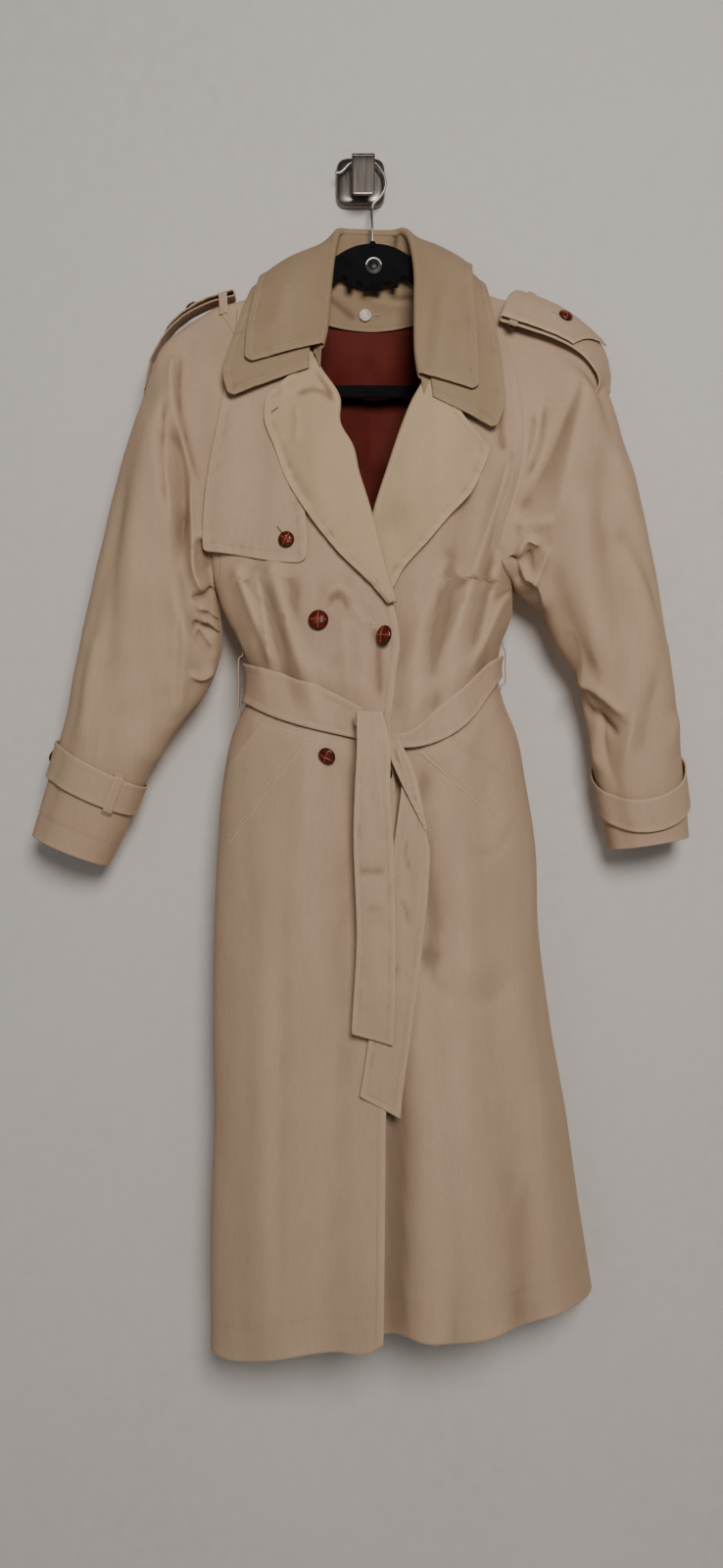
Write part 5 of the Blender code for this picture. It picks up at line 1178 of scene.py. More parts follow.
def makeFlap(piece):
    share = crowd(50, 2.5, 2.5, 0.07)[:, None]
    level = crowd(96, 0.5, 2.5, 0.06)[None, :]
    z = -150 - 265 * level + 0 * share
    for _ in range(3):
        x = readDown(z, piece["left"]) * (1 - share) + readDown(z, piece["right"]) * share
        top = shoulderZ(x) - 6 - 8 * ease((-x - 112) / 14)
        z = top + (readAcross(x, piece["bottom"]) - top) * level
    base = onFront(x, z, piece["lift"], flapDepth)
    base = roundCorners(base, (("end", "high", piece["corner"]), ("start", "high", 3)))
    lumps = creaseSum(base[..., 0], base[..., 1], piece["creases"]) + 0.5 * ripple(x, z, 44, 95)
    base[..., 2] += limited(lumps, 2.2) * ease(level / 0.2)
    push, wear = edgeFinish(base, ("start", "end", "high"), inset=7.5, seed=101, pucker=0.55)
    item, outer, normals = makeCloth("storm_flap", base, coat["cloth"], (gabardine,), push=push, wear=wear)
    settle(item, ["storm_flap"])
    return outer, normals


flapShell = makeFlap(flap)

# Pocket welts: the opening's two ends, then the lower seam's
weltRight = {"corners": ((-94, -578), (-135, -628), (-132, -703), (-50, -598)), "cut": (0.0765, 0.138, 0.0062)}
weltLeft = {"corners": ((80, -590), (164, -650), (152, -694), (57, -611)), "cut": (0.0485, 0.131, 0.0047)}


def makeWelt(name, piece, depthOf):
    a, b, c, d = (np.array(corner, float) for corner in piece["corners"])
    s, t = crowd(56, 2.0, 2.0, 0.06)[:, None, None], crowd(50, 2.0, 2.0, 0.06)[None, :, None]
    grid = (a * (1 - s) + b * s) * (1 - t) + (d * (1 - s) + c * s) * t
    mouth = np.exp(-t[..., 0] / 0.12) * np.sin(np.pi * s[..., 0]) ** 0.5
    base = onFront(grid[..., 0], grid[..., 1], 0.5 + 2.4 * mouth, depthOf)
    push, wear = edgeFinish(base, ("start", "end", "high"), inset=3.5, rise=0.0, pucker=0.25, seed=111)
    far = edgeDistances(base)
    push = push - 0.45 * np.exp(-np.minimum(np.minimum(far["start"], far["end"]), far["high"]) / 0.8)
    item, outer, normals = makeCloth(name, base, 1.0, (gabardine,), push=push, wear=wear)
    settle(item, [name])
    return outer, normals


weltRightShell = makeWelt("pocket_welt_right", weltRight, frontLook)
weltLeftShell = makeWelt("pocket_welt_left", weltLeft, leftLook)
print("flap and pockets are in")

belt = {
    "right": ((-1.0, -519, -559), (-0.86, -527, -568), (-0.62, -538, -580), (-0.38, -550, -589),
              (-0.10, -569, -598)),
    "left": ((0.07, -594, -604), (0.18, -593, -606), (0.40, -572, -600), (0.66, -547, -578), (0.86, -524, -552),
             (1.0, -510, -532)),
    "lift": 4.8, "wall": 1.8,
    "cuts": {"belt_front_right": (0.043, 0.157, 0.0061), "belt_front_left": (0.032, 0.178, 0.0044),
             "belt_back": (0.0385, 0.331, 0.0097), "belt_tail_top": (0.0405, 0.337, 0.0110),
             "belt_tail_under": (0.0435, 0.3455, 0.0111), "belt_tail_turn": (0.0175, 0.096, 0.00115)},
    "knot": (-1, 27, -577, -607),
}
# z, left x, right x, depth
tailTopRows = ((-585, -5, 21, 132.2), (-577, -5, 21, 135), (-572, -4, 21, 138), (-576, -3, 21, 141),
               (-590, -3, 25, 141.5), (-610, -3, 28, 141), (-650, -5, 28, 139), (-700, -6, 31, 138),
               (-785, -3, 33, 137), (-850, -6, 32.5, 136.5), (-886, -8, 31, 136))
tailTurnRows = ((-598, 26.8, 37, 127.5), (-606, 28, 40.5, 129.3), (-617, 29.5, 46, 130.5), (-634, 36.5, 52.5, 131),
                (-651, 44.7, 56.7, 131.2), (-668, 53.5, 60.2, 131), (-686, 62.0, 64.0, 130.0))
tailUnderRows = ((-622, 41, 44, 125.5), (-650, 39.5, 54, 127), (-684, 35, 61.5, 128.2), (-698, 33, 65, 128.6),
                 (-712, 31, 66.4, 129), (-751, 28, 64.3, 129.8), (-785, 25, 60.7, 130.4), (-824, 17, 56, 131),
                 (-884, 9, 48, 131.5), (-935, 2, 40, 132), (-952, 0, 38, 132.3))

tailCreases = {
    "belt_tail_top": ((14, -590, 17, -630, 21, -672, 3, 4, 1.2, 0), (-2, -722, 12, -726, 28, -720, 3, 3, -1.0, 0),
                      (-3, -757, 12, -760, 33, -756, 3, 3, -0.9, 0), (4, -600, 6, -660, 8, -730, 8, 10, 1.2, 0)),
    "belt_tail_under": ((46, -690, 44, -712, 50, -730, 2.5, 3, -1.0, 0),
                        (37, -752, 44, -764, 46, -782, 2.5, 3, -1.0, 0),
                        (36, -812, 32, -830, 27, -842, 3, 3, -0.9, 0),
                        (58, -690, 58, -740, 52, -800, 5, 6, 1.0, 0)),
    "belt_tail_turn": ((33, -604, 42, -630, 54, -664, 3, 4, 1.0, 0),
                       (31, -604, 34, -616, 40, -624, 2, 2.5, -0.8, 0)),
}


def beltPoint(u, zTop, zBottom, across, lift, depthOf):
    # Along the torso's ring, u from -1 at the wearer's right side to 1 at the left one
    z = zTop + (zBottom - zTop) * across
    t = torsoAt(z)
    x = (t["left"] + t["right"]) / 2 + (t["right"] - t["left"]) / 2 * u
    base = np.stack([x, z, depthOf(x, z)], -1)
    normals = gridNormals(base)
    middle = normals[normals.shape[0] // 2, 0, 2]
    normals = normals * (1 if (middle > 0) == (depthOf is frontDepth) else -1)
    for end in (0, -1):
        if abs(u[end, 0]) == 1:
            normals[end] = (u[end, 0], 0, 0)
    return base + lift * normals


def makeBelt():
    shells = []
    across = crowd(15, 1.2, 1.2, 0.1)[None, :]
    for name, rows in (("belt_front_right", belt["right"]), ("belt_front_left", belt["left"])):
        first, last = np.arccos(-rows[0][0]), np.arccos(-rows[-1][0])
        u = -np.cos(np.linspace(first, last, 90))[:, None]
        zTop, zBottom = (readAcross(u, rows, k) for k in (1, 2))
        base = beltPoint(u, zTop, zBottom, across, belt["lift"], frontDepth)
        base[..., 2] += 0.7 * ripple(base[..., 0], base[..., 1], 34, 121) * np.sqrt(np.clip(1 - u ** 2, 0, 1))
        base[0 if rows is belt["right"] else -1, :, 2] += coat["seamGap"]
        push, wear = edgeFinish(base, ("low", "high"), inset=5.5, rise=0.35, pucker=0.3, seed=122)
        item, outer, normals = makeCloth(name, base, belt["wall"], (gabardine,), push=push, wear=wear)
        settle(item, [name])
        shells.append((outer, normals))
    u = -np.cos(np.linspace(0, np.pi, 150))[:, None]
    zTop = -519 + 4.5 * (u + 1) - 10 * (1 - u ** 2)
    base = beltPoint(u, zTop, zTop - 38 + 8 * (u + 1), across, belt["lift"], backDepth)
    base[(0, -1), :, 2] -= coat["seamGap"]
    push, wear = edgeFinish(base, ("low", "high"), inset=5.5, rise=0.35, pucker=0.3, seed=125)
    item, outer, normals = makeCloth("belt_back", base, belt["wall"], (gabardine,), facing=(0, 0, -1), push=push,
                                     wear=wear)
    settle(item, ["belt_back"])
    shells.append((outer, normals))
    s = crowd(17, 1.2, 1.2, 0.1)[:, None]
    for name, rows, slant in (("belt_tail_top", tailTopRows, 11), ("belt_tail_under", tailUnderRows, 21),
                              ("belt_tail_turn", tailTurnRows, 0)):
        at = (len(rows) - 1) * np.linspace(0, 1, 150)[None, :]
        table = readRows(at, rows)
        x = table[..., 1] * (1 - s) + table[..., 2] * s
        z = table[..., 0] - slant * (s - 0.5) * ease((at - len(rows) + 3) / 2)
        d = table[..., 3] + 0.9 * ripple(x, z, 46, 131) + 0.5 * ripple(x, z, 18, 132) * ease((at - 3) / 3)
        d = d + creaseSum(x, z, tailCreases[name])
        base = np.stack([x, z + 0 * x, d], -1)
        push, wear = edgeFinish(base, ("start", "end", "high"), inset=5.0, rise=0.3, pucker=0.3, seed=135)
        item, outer, normals = makeCloth(name, base, belt["wall"], (gabardine,), wear=wear,
                                         push=push * (ease((at - 4) / 2) if name == "belt_tail_top" else 1.0))
        turned = name == "belt_tail_turn"
        settle(item, () if turned else [name])
        shells.append((outer, normals))
    left, right, top, bottom = belt["knot"]
    turn = 2 * np.pi * np.arange(48)[:, None] / 48
    c, n = np.cos(turn), np.sin(turn)
    size = np.array((0.60, 0.86, 0.97, 1.0, 1.0, 0.96, 0.84, 0.58))[None, :]
    d = np.array((121.9, 122.1, 123.2, 124.6, 129.0, 130.4, 131.5, 131.8))[None, :] + 0 * c
    x = (left + right) / 2 + (right - left) / 2 * size * np.sign(c) * np.abs(c) ** 0.7
    z = (top + bottom) / 2 + (top - bottom) / 2 * size * np.sign(n) * np.abs(n) ** 0.7
    item, _, _ = makeCloth("belt_knot", np.stack([x, z, d], -1), 1.5, (gabardine,), closed=True,
                           facing=(0, 1, 0))
    settle(item, ["belt_knot"])
    return shells


beltShells = makeBelt()


def makeBeltLoops():
    # A cloth loop over the belt at the right side, a thread loop at the left one
    for name, side, sign, zs, depth, half, wall, looks in (
            ("belt_loop_right", "left", -1.0, (-508, -511, -516, -540, -564, -569, -572), 60, 4.5, 1.3,
             (gabardine,)),
            ("belt_loop_left", "right", 1.0, (-496, -500, -505, -520, -537, -541, -545), 50, 0.9, 1.1, (thread,))):
        z = np.array(zs, float)
        edge = torsoAt(z)[side]
        far = (sign * edge[2:5]).max() + belt["lift"] + 0.6 + wall
        near = sign * edge + 0.5 + wall
        x = sign * np.where((z < z[1]) & (z > z[5]), far, near + np.where((z == z[1]) | (z == z[5]), 1.2, 0.0))
        path = np.stack([x, z, np.full(len(z), float(depth))], -1)
        item, _, _ = makeBand(name, path, half, (0, 0, 1), wall, looks, (sign, 0, 0))
        settle(item, [name])


makeBeltLoops()
print("belt is in")

epauletteRight = {
    "rows": ((-221, -236, 55, -222, -234, 28, 0), (-216, -213, 55, -220, -208, 24, 1),
             (-213, -202, 55, -216, -196, 22, 1),
             (-198, -178, 55, -200, -172, 22, 1), (-180, -161, 54, -182, -155, 22, 1),
             (-157, -149, 54, -159, -143, 22, 1),
             (-131, -141, 53, -133, -135, 22, 1)),
    "frontEnd": 3.2, "backEnd": 2.6, "nearLift": 6.5, "farLift": 3.6, "loopBack": 0.35, "buttonAt": 0.5,
    "fall": (14.0, 8.0), "rim": 1.07, "cut": (0.0365, 0.25, 0.0078), "cutLoop": (0.010, 0.103, 0.00082),
                  "cutBar": (0.010, 0.027, 0.000157),
}
epauletteLeft = {
    "rows": ((231, -256, 84, 254, -243, 60, 2), (239, -238, 81, 256, -220, 51, 3),
             (230, -219, 80, 250, -192, 46, 4),
             (212, -203, 79, 234, -175, 45, 7), (191, -192, 77, 212, -158, 44, 8),
             (167, -183, 75, 189, -146, 43, 8),
             (143, -175, 73, 163, -137, 42, 8)),
    "frontEnd": 3.0, "backEnd": 2.0, "nearLift": 7.2, "farLift": 4.8, "loopBack": 0.45, "buttonAt": 0.63,
    "fall": (36.0, 31.0), "rim": 1.02, "cut": (0.0575, 0.278, 0.0134), "cutLoop": (0.010, 0.139, 0.00111),
                 "cutBar": (0.010, 0.036, 0.000207),
}


def epauletteGrid(tab, stations):
    # Under layer from the sleeve head to the neck, a round turn, then the upper layer to its point
    rows = tab["rows"]
    last = len(rows) - 1
    s = crowd(15, 1.0, 1.0, 0.1)
    lower = np.linspace(0, last, stations)[:, None] + 0 * s
    ends = tab["frontEnd"] + (tab["backEnd"] - tab["frontEnd"]) * s
    backShare = np.linspace(0, 1, stations - 2)[:, None]
    upper = last + (ends - last) * backShare
    r = readRows(np.concatenate([lower, upper]), rows)
    front, rear = r[..., 0:3], r[..., 3:6]
    base = front + (rear - front) * s[:, None]
    base[..., 1] += r[..., 6] * np.sin(np.pi * s)
    run = np.gradient(base[:stations], axis=0)
    normal = np.cross(run, (rear - front)[:stations])
    normal = unit(np.where(normal[..., 1:2] < 0, -normal, normal))
    place = np.clip(np.round(upper / last * (stations - 1)).astype(int), 0, stations - 1)
    lift = tab["nearLift"] + (tab["farLift"] - tab["nearLift"]) * backShare
    base[stations:] += lift[..., None] * np.take_along_axis(normal, place[..., None], 0)
    phi = np.radians(np.arange(18, 180, 18))[:, None, None]
    low, high = base[stations - 1][None], base[stations][None]
    turn = (low + high) / 2 + (low
                               - high) / 2 * np.cos(phi) + unit(run[-1])[None] * tab["nearLift"] * 0.45 * np.sin(phi)
    return np.concatenate([base[:stations], turn, base[stations:]]), normal, stations + len(phi)


def makeEpaulette(side, tab):
    stations = 44
    base, normal, upperStart = epauletteGrid(tab, stations)
    face = gridNormals(base)
    facing = face[len(base) // 2, 7] * (1 if np.dot(face[stations - 1, 7], normal[-1, 7]) < 0 else -1)
    push, wear = edgeFinish(base, ("low", "high", "end"), inset=5.0, rise=0.3, pucker=0.25, seed=141)
    item, outer, normals = makeCloth("epaulette_" + side, base, 1.6, (gabardine,), push=push, wear=wear,
                                     facing=facing)
    settle(item, ["epaulette_" + side])
    rows = tab["rows"]
    r = readRows(np.array([len(rows) - 1 - tab["loopBack"]]), rows)[0]
    across = np.array((-0.12, -0.04, 0.34, 0.67, tab["rim"], tab["rim"] + 0.08))[:, None]
    bridge = r[0:3] + (r[3:6] - r[0:3]) * across + (tab["nearLift"] + 1.2) / 2 * unit(normal[-1].mean(0))
    bridge[:, 1] += r[6] * np.sin(np.pi * np.clip(across[:, 0], 0, 1))
    front = onFront(r[0], shoulderZ(r[0]) - np.array(tab["fall"]), 2.4, frontDepth)
    rear = onFront(r[3], shoulderZ(r[3]) - np.array((14.0, 22.0)), -1.8, backDepth)
    along = np.cross(unit(normal[-1].mean(0)), r[3:6] - r[0:3])
    loop, _, _ = makeBand("epaulette_loop_" + side, np.concatenate([front, bridge, rear]), 4.0, along, 1.1,
                          (gabardine,),
                          (0, 1, 0))
    settle(loop, ["epaulette_loop_" + side])
    # The outer end is sewn down under a raised bar
    end = rows[0]
    bar = np.array([np.array(end[0:3]) * (1 - k) + np.array(end[3:6]) * k for k in (0.0, 0.3, 0.7, 1.0)])
    bar = bar + np.array((0, -1.6, 0)) + 1.5 * unit(normal[0].mean(0))
    bar, _, _ = makeBand("epaulette_bar_" + side, bar, 2.9, (0, 1, 0), 1.0, (gabardine,), unit(normal[0].mean(0)))
    settle(bar, ())
    spot = upperStart + int((len(base) - upperStart) * tab["buttonAt"])
    seat, axis = outer[spot, 6:9].mean(0), normals[spot, 6:9].mean(0)
    makeButton("button_epaulette_" + side, seat + 0.3 * axis, axis, 7.5, (leather,), ["button_epaulette_" + side],
               0.3)
    return outer, normals


epauletteRightShell = makeEpaulette("right", epauletteRight)
epauletteLeftShell = makeEpaulette("left", epauletteLeft)
print("epaulettes are in")

# Buttons on the front: x, z, radius, turn of the cross
frontButtons = ((-41, -481, 10.0, 0.0, (0.0, 0.1)), (23, -497, 10.0, 0.1, (-0.9, 0.15)),
                (-33, -615, 8.8, 0.5, (-0.4, -0.4)), (22, -632, 9.0, 0.2, (0.0, 0.0)))
for number, (x, z, radius, turn, tilt) in enumerate(frontButtons, 1):
    seat = onFront(x, z, 0.6)
    makeButton(f"button_front_{number}", seat, onFront(x, z, 1.6) - seat, radius, (leather,),
               [f"button_front_{number}"], turn, tilt)
seat = onFront(-72, -402, flap["lift"] + 0.9, frontDepth)
makeButton("button_storm_flap", seat, onFront(-72, -402, 6, frontDepth) - seat, 8.0, (leather,),
           ["button_storm_flap"], 0.5)


def spotOn(shell, x, z):
    grid, normals = shell
    near = np.argmin((grid[..., 0] - x) ** 2 + (grid[..., 1] - z) ** 2)
    return grid.reshape(-1, 3)[near], normals.reshape(-1, 3)[near]


def makeButtonholes(places):
    # Each is a ring of thread pulled long, round a dark slit face that is painted shadow for the cut
    points, faces, faceLooks, total = [], [], [], 0
    turn = 2 * np.pi * np.arange(36) / 36
    lap = 2 * np.pi * np.arange(8) / 8
    for shell, x, z, angle, length in places:
        seat, up = spotOn(shell, x, z)
        along = np.array((np.cos(np.radians(angle)), np.sin(np.radians(angle)), 0))
        along = unit(along - np.dot(along, up) * up)
        side = np.cross(up, along)
        away = np.stack([np.cos(turn) * 0.9 + np.sign(np.cos(turn)) * (length / 2 - 0.9), np.sin(turn) * 0.9], -1)
        out = np.stack([np.cos(turn), np.sin(turn)], -1)
        flat = away[:, None] + 0.42 * np.cos(lap)[None, :, None] * out[:, None]
        high = 0.15 + 0.42 * np.sin(lap)[None, :, None] + 0 * flat[..., :1]
        ring = seat + flat[..., :1] * along + flat[..., 1:] * side + high * up
        number = np.arange(36 * 8).reshape(36, 8)
        quads = ringQuads(np.concatenate([number, number[:1]]))
        # Painted shadow: a near-black face over the slit
        slit = seat + away[:, :1] * along + away[:, 1:] * side + 0.12 * up
        points += [ring.reshape(-1, 3), slit]
        faces += [quads + total, (np.arange(36) + 288 + total)[None]]
        faceLooks += [0] * 288 + [1]
        total += 324
    item = meshFrom("buttonholes", np.concatenate(points), faces, (thread, darkCapAndSlitShade), faceLooks)
    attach(item, "root")


upperLeft, upperRight = ([part[len(part) // 2:] for part in shell]
                         for shell in (epauletteLeftShell, epauletteRightShell))
makeButtonholes(((flapShell, -80, -392, -52, 12), (lapelRightShell, -84, -272.5, 34, 9),
                 (upperRight, -172, -150, 0, 9),
                 (frontRightShell, 11, -487, -50, 13), (upperLeft, 199, -166, -32, 11),
                 (facingShell, 17, -148.5, 0, 11)))
neckButton = {"x": 5, "z": -148, "depth": 20.6, "radius": 6.4, "holes": 4}


def makeNeckButton(piece):
    # A clear four-hole button: a raised rim round a shallow dish
    r = np.array((0.02, 0.2, 0.4, 0.6, 0.70, 0.80, 0.92, 1.0, 1.0, 0.92, 0.5, 0.02))[:, None]
    h = np.array((1.2, 1.2, 1.2, 1.3, 1.8, 2.1, 2.0, 1.5, 0.8, 0.3, 0.0, 0.0))[:, None]
    turn = 2 * np.pi * np.arange(48)[None, :] / 48
    x, z = piece["radius"] * r * np.cos(turn), piece["radius"] * r * np.sin(turn)
    for k in range(piece["holes"]):
        holeX, holeZ = 1.5 * np.cos(np.pi / 4 + k * np.pi / 2), 1.5 * np.sin(np.pi / 4 + k * np.pi / 2)
        h = h - 0.9 * np.exp(-((x - holeX) ** 2 + (z - holeZ) ** 2) / 0.35) * (np.arange(12)[:, None] < 5)
    points = np.stack([piece["x"] + x, piece["z"] + z, piece["depth"] + h + 0 * x], -1)
    number = np.arange(12 * 48).reshape(12, 48)
    quads = ringQuads(number)
    caps = [np.stack([number[0], np.roll(number[0], -1), np.full(48, 576)], -1),
            np.stack([np.roll(number[-1], -1), number[-1], np.full(48, 577)], -1)]
    tips = np.array(((piece["x"], piece["z"], piece["depth"] + 1.2), (piece["x"], piece["z"], piece["depth"])))
    item = meshFrom("button_neck", np.concatenate([points.reshape(-1, 3), tips]), [quads] + caps, (clear,),
                    sharp=1.4)
    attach(item, "root")
    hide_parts("button_neck")


makeNeckButton(neckButton)
print("buttons are in")

# Hanger: outer and inner outline by distance out from the shank
hanger = {
    "depth": 36.0, "thick": 5.0, "round": 1.6, "badgeRadius": 8.6,
    "rows": ((0, -80, 0, -128), (6, -80, 9.3, -128), (10, -80.5, 9.7, -122), (15, -81.5, 19, -119.5),
             (20, -83, 19.5, -125), (25, -85, 26, -125), (29, -87, 26.6, -117), (34, -90, 32, -113),
             (46, -97.5, 47, -128), (60, -106, 60, -124), (80, -119, 80, -131), (102, -135, 100, -147),
             (126, -148, 124, -160), (152, -159, 149, -171), (176, -175, 170, -185), (192, -192, 181, -196),
             (198, -210, 184, -210), (190, -228, 178, -220), (172, -240, 168, -227), (90, -240, 90, -227),
             (0, -240, 0, -227)),
}
hookWire = {
    "radius": 1.4, "depth": 17.0,
    "path": ((-27, 4), (-22, 4.4), (-17.5, 7.5), (-13.5, 12), (-9, 14.7), (-3, 15.1), (8, 15.1), (14.5, 14.6),
             (18.6, 11.0), (22, 6.3), (25.6, -1), (26.2, -9), (24, -16), (19.5, -22.5), (14.5, -27.5), (12.2, -33),
             (12, -48), (12.6, -79.7)),
}
wallHook = {
    "plateHalf": 26.0, "plate": ((0, 0.96), (0.6, 1.0), (4.6, 1.0), (6.4, 0.975), (7.6, 0.93), (8.5, 0.86),
                                 (9.1, 0.78), (9.35, 0.66)),
    "strapHalf": 11.0, "strapCentre": 3.0, "strapWall": 3.0,
    "strapPath": ((10.2, 9.3), (18, 11.9), (26, 14.0), (29, 14.3), (31, 13.2), (31.8, 11), (31.8, -8),
                  (31.8, -26.5)),
}


def makeHanger(piece):
    # A rounded flat section carried round between the outer and the inner outline
    half = np.asarray(piece["rows"], float)
    ring = np.concatenate([half, half[-2:0:-1] * (-1, 1, -1, 1)])
    at = np.arange(0, len(ring), 0.25)
    low, share = np.floor(at).astype(int), (at % 1)[:, None]
    ring = ring[low] * (1 - share) + ring[(low + 1) % len(ring)] * share
    outerLine, innerLine = ring[:, 0:2], ring[:, 2:4]
    middle, reach = (outerLine + innerLine) / 2, (outerLine - innerLine) / 2
    size = np.linalg.norm(reach, axis=1, keepdims=True)
    thick, radius = piece["thick"] / 2, piece["round"]
    section = []
    for turn in np.radians((0, 30, 60, 90, 90, 120, 150, 180, 180, 210, 240, 270, 270, 300, 330, 360)):
        away = np.sign(np.round(np.cos(turn - 0.001), 2)) * (size - radius) + radius * np.cos(turn)
        up = np.sign(np.round(np.sin(turn + 0.001), 2)) * (thick - radius) + radius * np.sin(turn)
        flat = middle + reach / size * away
        section.append(np.stack([flat[:, 0] + coat["neckCentre"], flat[:, 1], piece["depth"] + up + 0 * flat[:, 0]],
                                -1))
    grid = np.stack(section, 1)
    count, sides = grid.shape[:2]
    number = np.arange(count * sides).reshape(count, sides)
    quads = ringQuads(np.concatenate([number, number[:1]]))
    item = meshFrom("hanger_body", grid, [quads], (flock,), sharp=0.9)
    settle(item, ["hanger_body"])
    centre = (coat["neckCentre"] + 0.6, -103.3, piece["depth"] + thick + 0.1)
    r = piece["badgeRadius"] * np.array((0.02, 0.22, 0.42, 0.54, 0.60, 0.78, 0.82, 0.90, 0.98, 1.0))[:, None]
    h = np.array((1.9, 1.75, 1.3, 0.8, 0.5, 0.5, 0.9, 1.1, 0.9, 0.0))[:, None]
    turn = 2 * np.pi * np.arange(64)[None, :] / 64
    points = np.stack([centre[0] + r * np.cos(turn), centre[1] + r * np.sin(turn), centre[2] + h + 0 * turn], -1)
    number = np.arange(640).reshape(10, 64)
    quads = ringQuads(number)
    arc = np.repeat(np.sin(turn + np.pi / 64) > 0.1, 9, 0) & (np.arange(9)[:, None] >= 5)
    caps = [np.stack([number[0], np.roll(number[0], -1), np.full(64, 640)], -1), number[-1:, ::-1]]
    item = meshFrom("hanger_badge", np.concatenate([points.reshape(-1, 3),
                                                    [(centre[0], centre[1], centre[2] + 1.75)]]),
                    [quads] + caps, (darkCapAndSlitShade, chrome),
                    np.concatenate([arc.ravel().astype(np.int32), np.zeros(65, np.int32)]), sharp=0.8)
    settle(item, ["hanger_badge"])
    # The nub: round the shank, domed
    r = 3.6 * np.array((1.15, 1.0, 1.0, 0.9, 0.7, 0.45))[:, None]
    h = np.array((-4.5, -3.0, 0.2, 1.6, 2.5, 2.9))[:, None]
    points = np.stack([coat["neckCentre"] - 0.4 + r * np.cos(turn), -80 + h + 0 * turn,
                       piece["depth"] + 0.8 * r * np.sin(turn)], -1)
    number = np.arange(6 * 64).reshape(6, 64)
    quads = ringQuads(number)
    item = meshFrom("hanger_nub", points, [quads, number[-1:, ::-1], number[:1]], (flock,), sharp=1.2)
    settle(item, ())


def makeTube(name, path, radius, sides, looks, nodes):
    # A round section carried along a path, its frame turned along with the path; ends domed
    run = unit(np.gradient(path, axis=0))
    side = unit(np.cross(run, (0.0, 0.0, 1.0)))
    other = np.cross(run, side)
    ends = np.sqrt(np.clip(1 - (1 - np.clip(arcs(path[:, None], 0)[:, 0] / radius, 0, 1)) ** 2, 0.02, 1))
    size = (radius * np.minimum(ends, ends[::-1]))[:, None, None]
    turn = 2 * np.pi * np.arange(sides)[None, :, None] / sides
    grid = path[:, None] + size * (np.cos(turn) * side[:, None] + np.sin(turn) * other[:, None])
    number = np.arange(len(path) * sides).reshape(-1, sides)
    quads = ringQuads(number)[:, (0, 3, 2, 1)]
    item = meshFrom(name, grid, [quads, number[:1, ::-1], number[-1:]], looks)
    settle(item, nodes)


def makeHookParts():
    route = readRows(np.linspace(0, len(hookWire["path"]) - 1, 260), hookWire["path"])
    sink = hookWire["depth"] + (hanger["depth"] - hookWire["depth"]) * ease((-route[:, 1] - 33) / 30)
    path = np.stack([route[:, 0], route[:, 1], sink], -1)
    makeTube("hanger_hook", path, hookWire["radius"], 14, (chrome,), ["hanger_hook"])
    turn = 2 * np.pi * np.arange(120)[None, :] / 120
    c, s = np.cos(turn), np.sin(turn)
    rows = np.asarray(wallHook["plate"])
    size = wallHook["plateHalf"] * rows[:, 1:2]
    square = [np.sign(k) * np.abs(k) ** 0.42 for k in (c, s)]
    points = np.stack([size * square[0], size * square[1], rows[:, :1] + 0 * c], -1)
    number = np.arange(len(rows) * 120).reshape(-1, 120)
    quads = ringQuads(number)[:, (0, 3, 2, 1)]
    item = meshFrom("hook_plate", points, [quads, number[:1, ::-1], number[-1:]], (brushed,), sharp=0.9)
    settle(item, ["hook_plate"])
    path = np.asarray(wallHook["strapPath"], float)
    path = readRows(np.linspace(0, len(path) - 1, 70), path)
    points = np.stack([np.full(len(path), wallHook["strapCentre"]), path[:, 1], path[:, 0]], -1)
    up = np.cross(unit(np.gradient(points, axis=0)), (1.0, 0, 0))
    up = np.where(up[0, 1] < 0, -up, up)
    s = crowd(16, 2, 2, 0.1)[None, :, None] * 2 - 1
    base = (points + up * wallHook["strapWall"] / 2)[:, None] + s * wallHook["strapHalf"] * np.array((1.0, 0, 0))
    base = roundCorners(base, (("end", "low", 3), ("end", "high", 3)))
    item, _, _ = makeCloth("hook_strap", base, wallHook["strapWall"], (brushed,), facing=up[35])
    settle(item, ["hook_strap"])


makeHanger(hanger)
makeHookParts()
print("hanger and wall hook are in")


# Stitching: rows of small raised stitches that follow an edge at a set distance
def alongEdge(shell, side, inset, sides):
    grid, normals = shell
    far = edgeDistances(grid)
    away = far[side]
    across = grid if side in ("low", "high") else grid.transpose(1, 0, 2)
    turned = normals if side in ("low", "high") else normals.transpose(1, 0, 2)
    away = away if side in ("low", "high") else away.T
    if side in ("low", "start"):
        across, turned, away = across[:, ::-1], turned[:, ::-1], away[:, ::-1]
    k = np.clip((away > inset).sum(1), 1, away.shape[1] - 1)
    line = np.arange(len(away))
    t = np.clip((away[line, k - 1] - inset) / np.maximum(away[line, k - 1] - away[line, k], 1e-6), 0, 1)[:, None]
    points = across[line, k - 1] * (1 - t) + across[line, k] * t
    facing = unit(turned[line, k - 1] * (1 - t) + turned[line, k] * t)
    keep = np.ones(len(points), bool)
    for other in sides:
        if other != side:
            value = far[other] if side in ("low", "high") else far[other].T
            value = value[:, ::-1] if side in ("low", "start") else value
            keep &= value[line, k] >= inset * 0.98
    return points[keep], facing[keep]


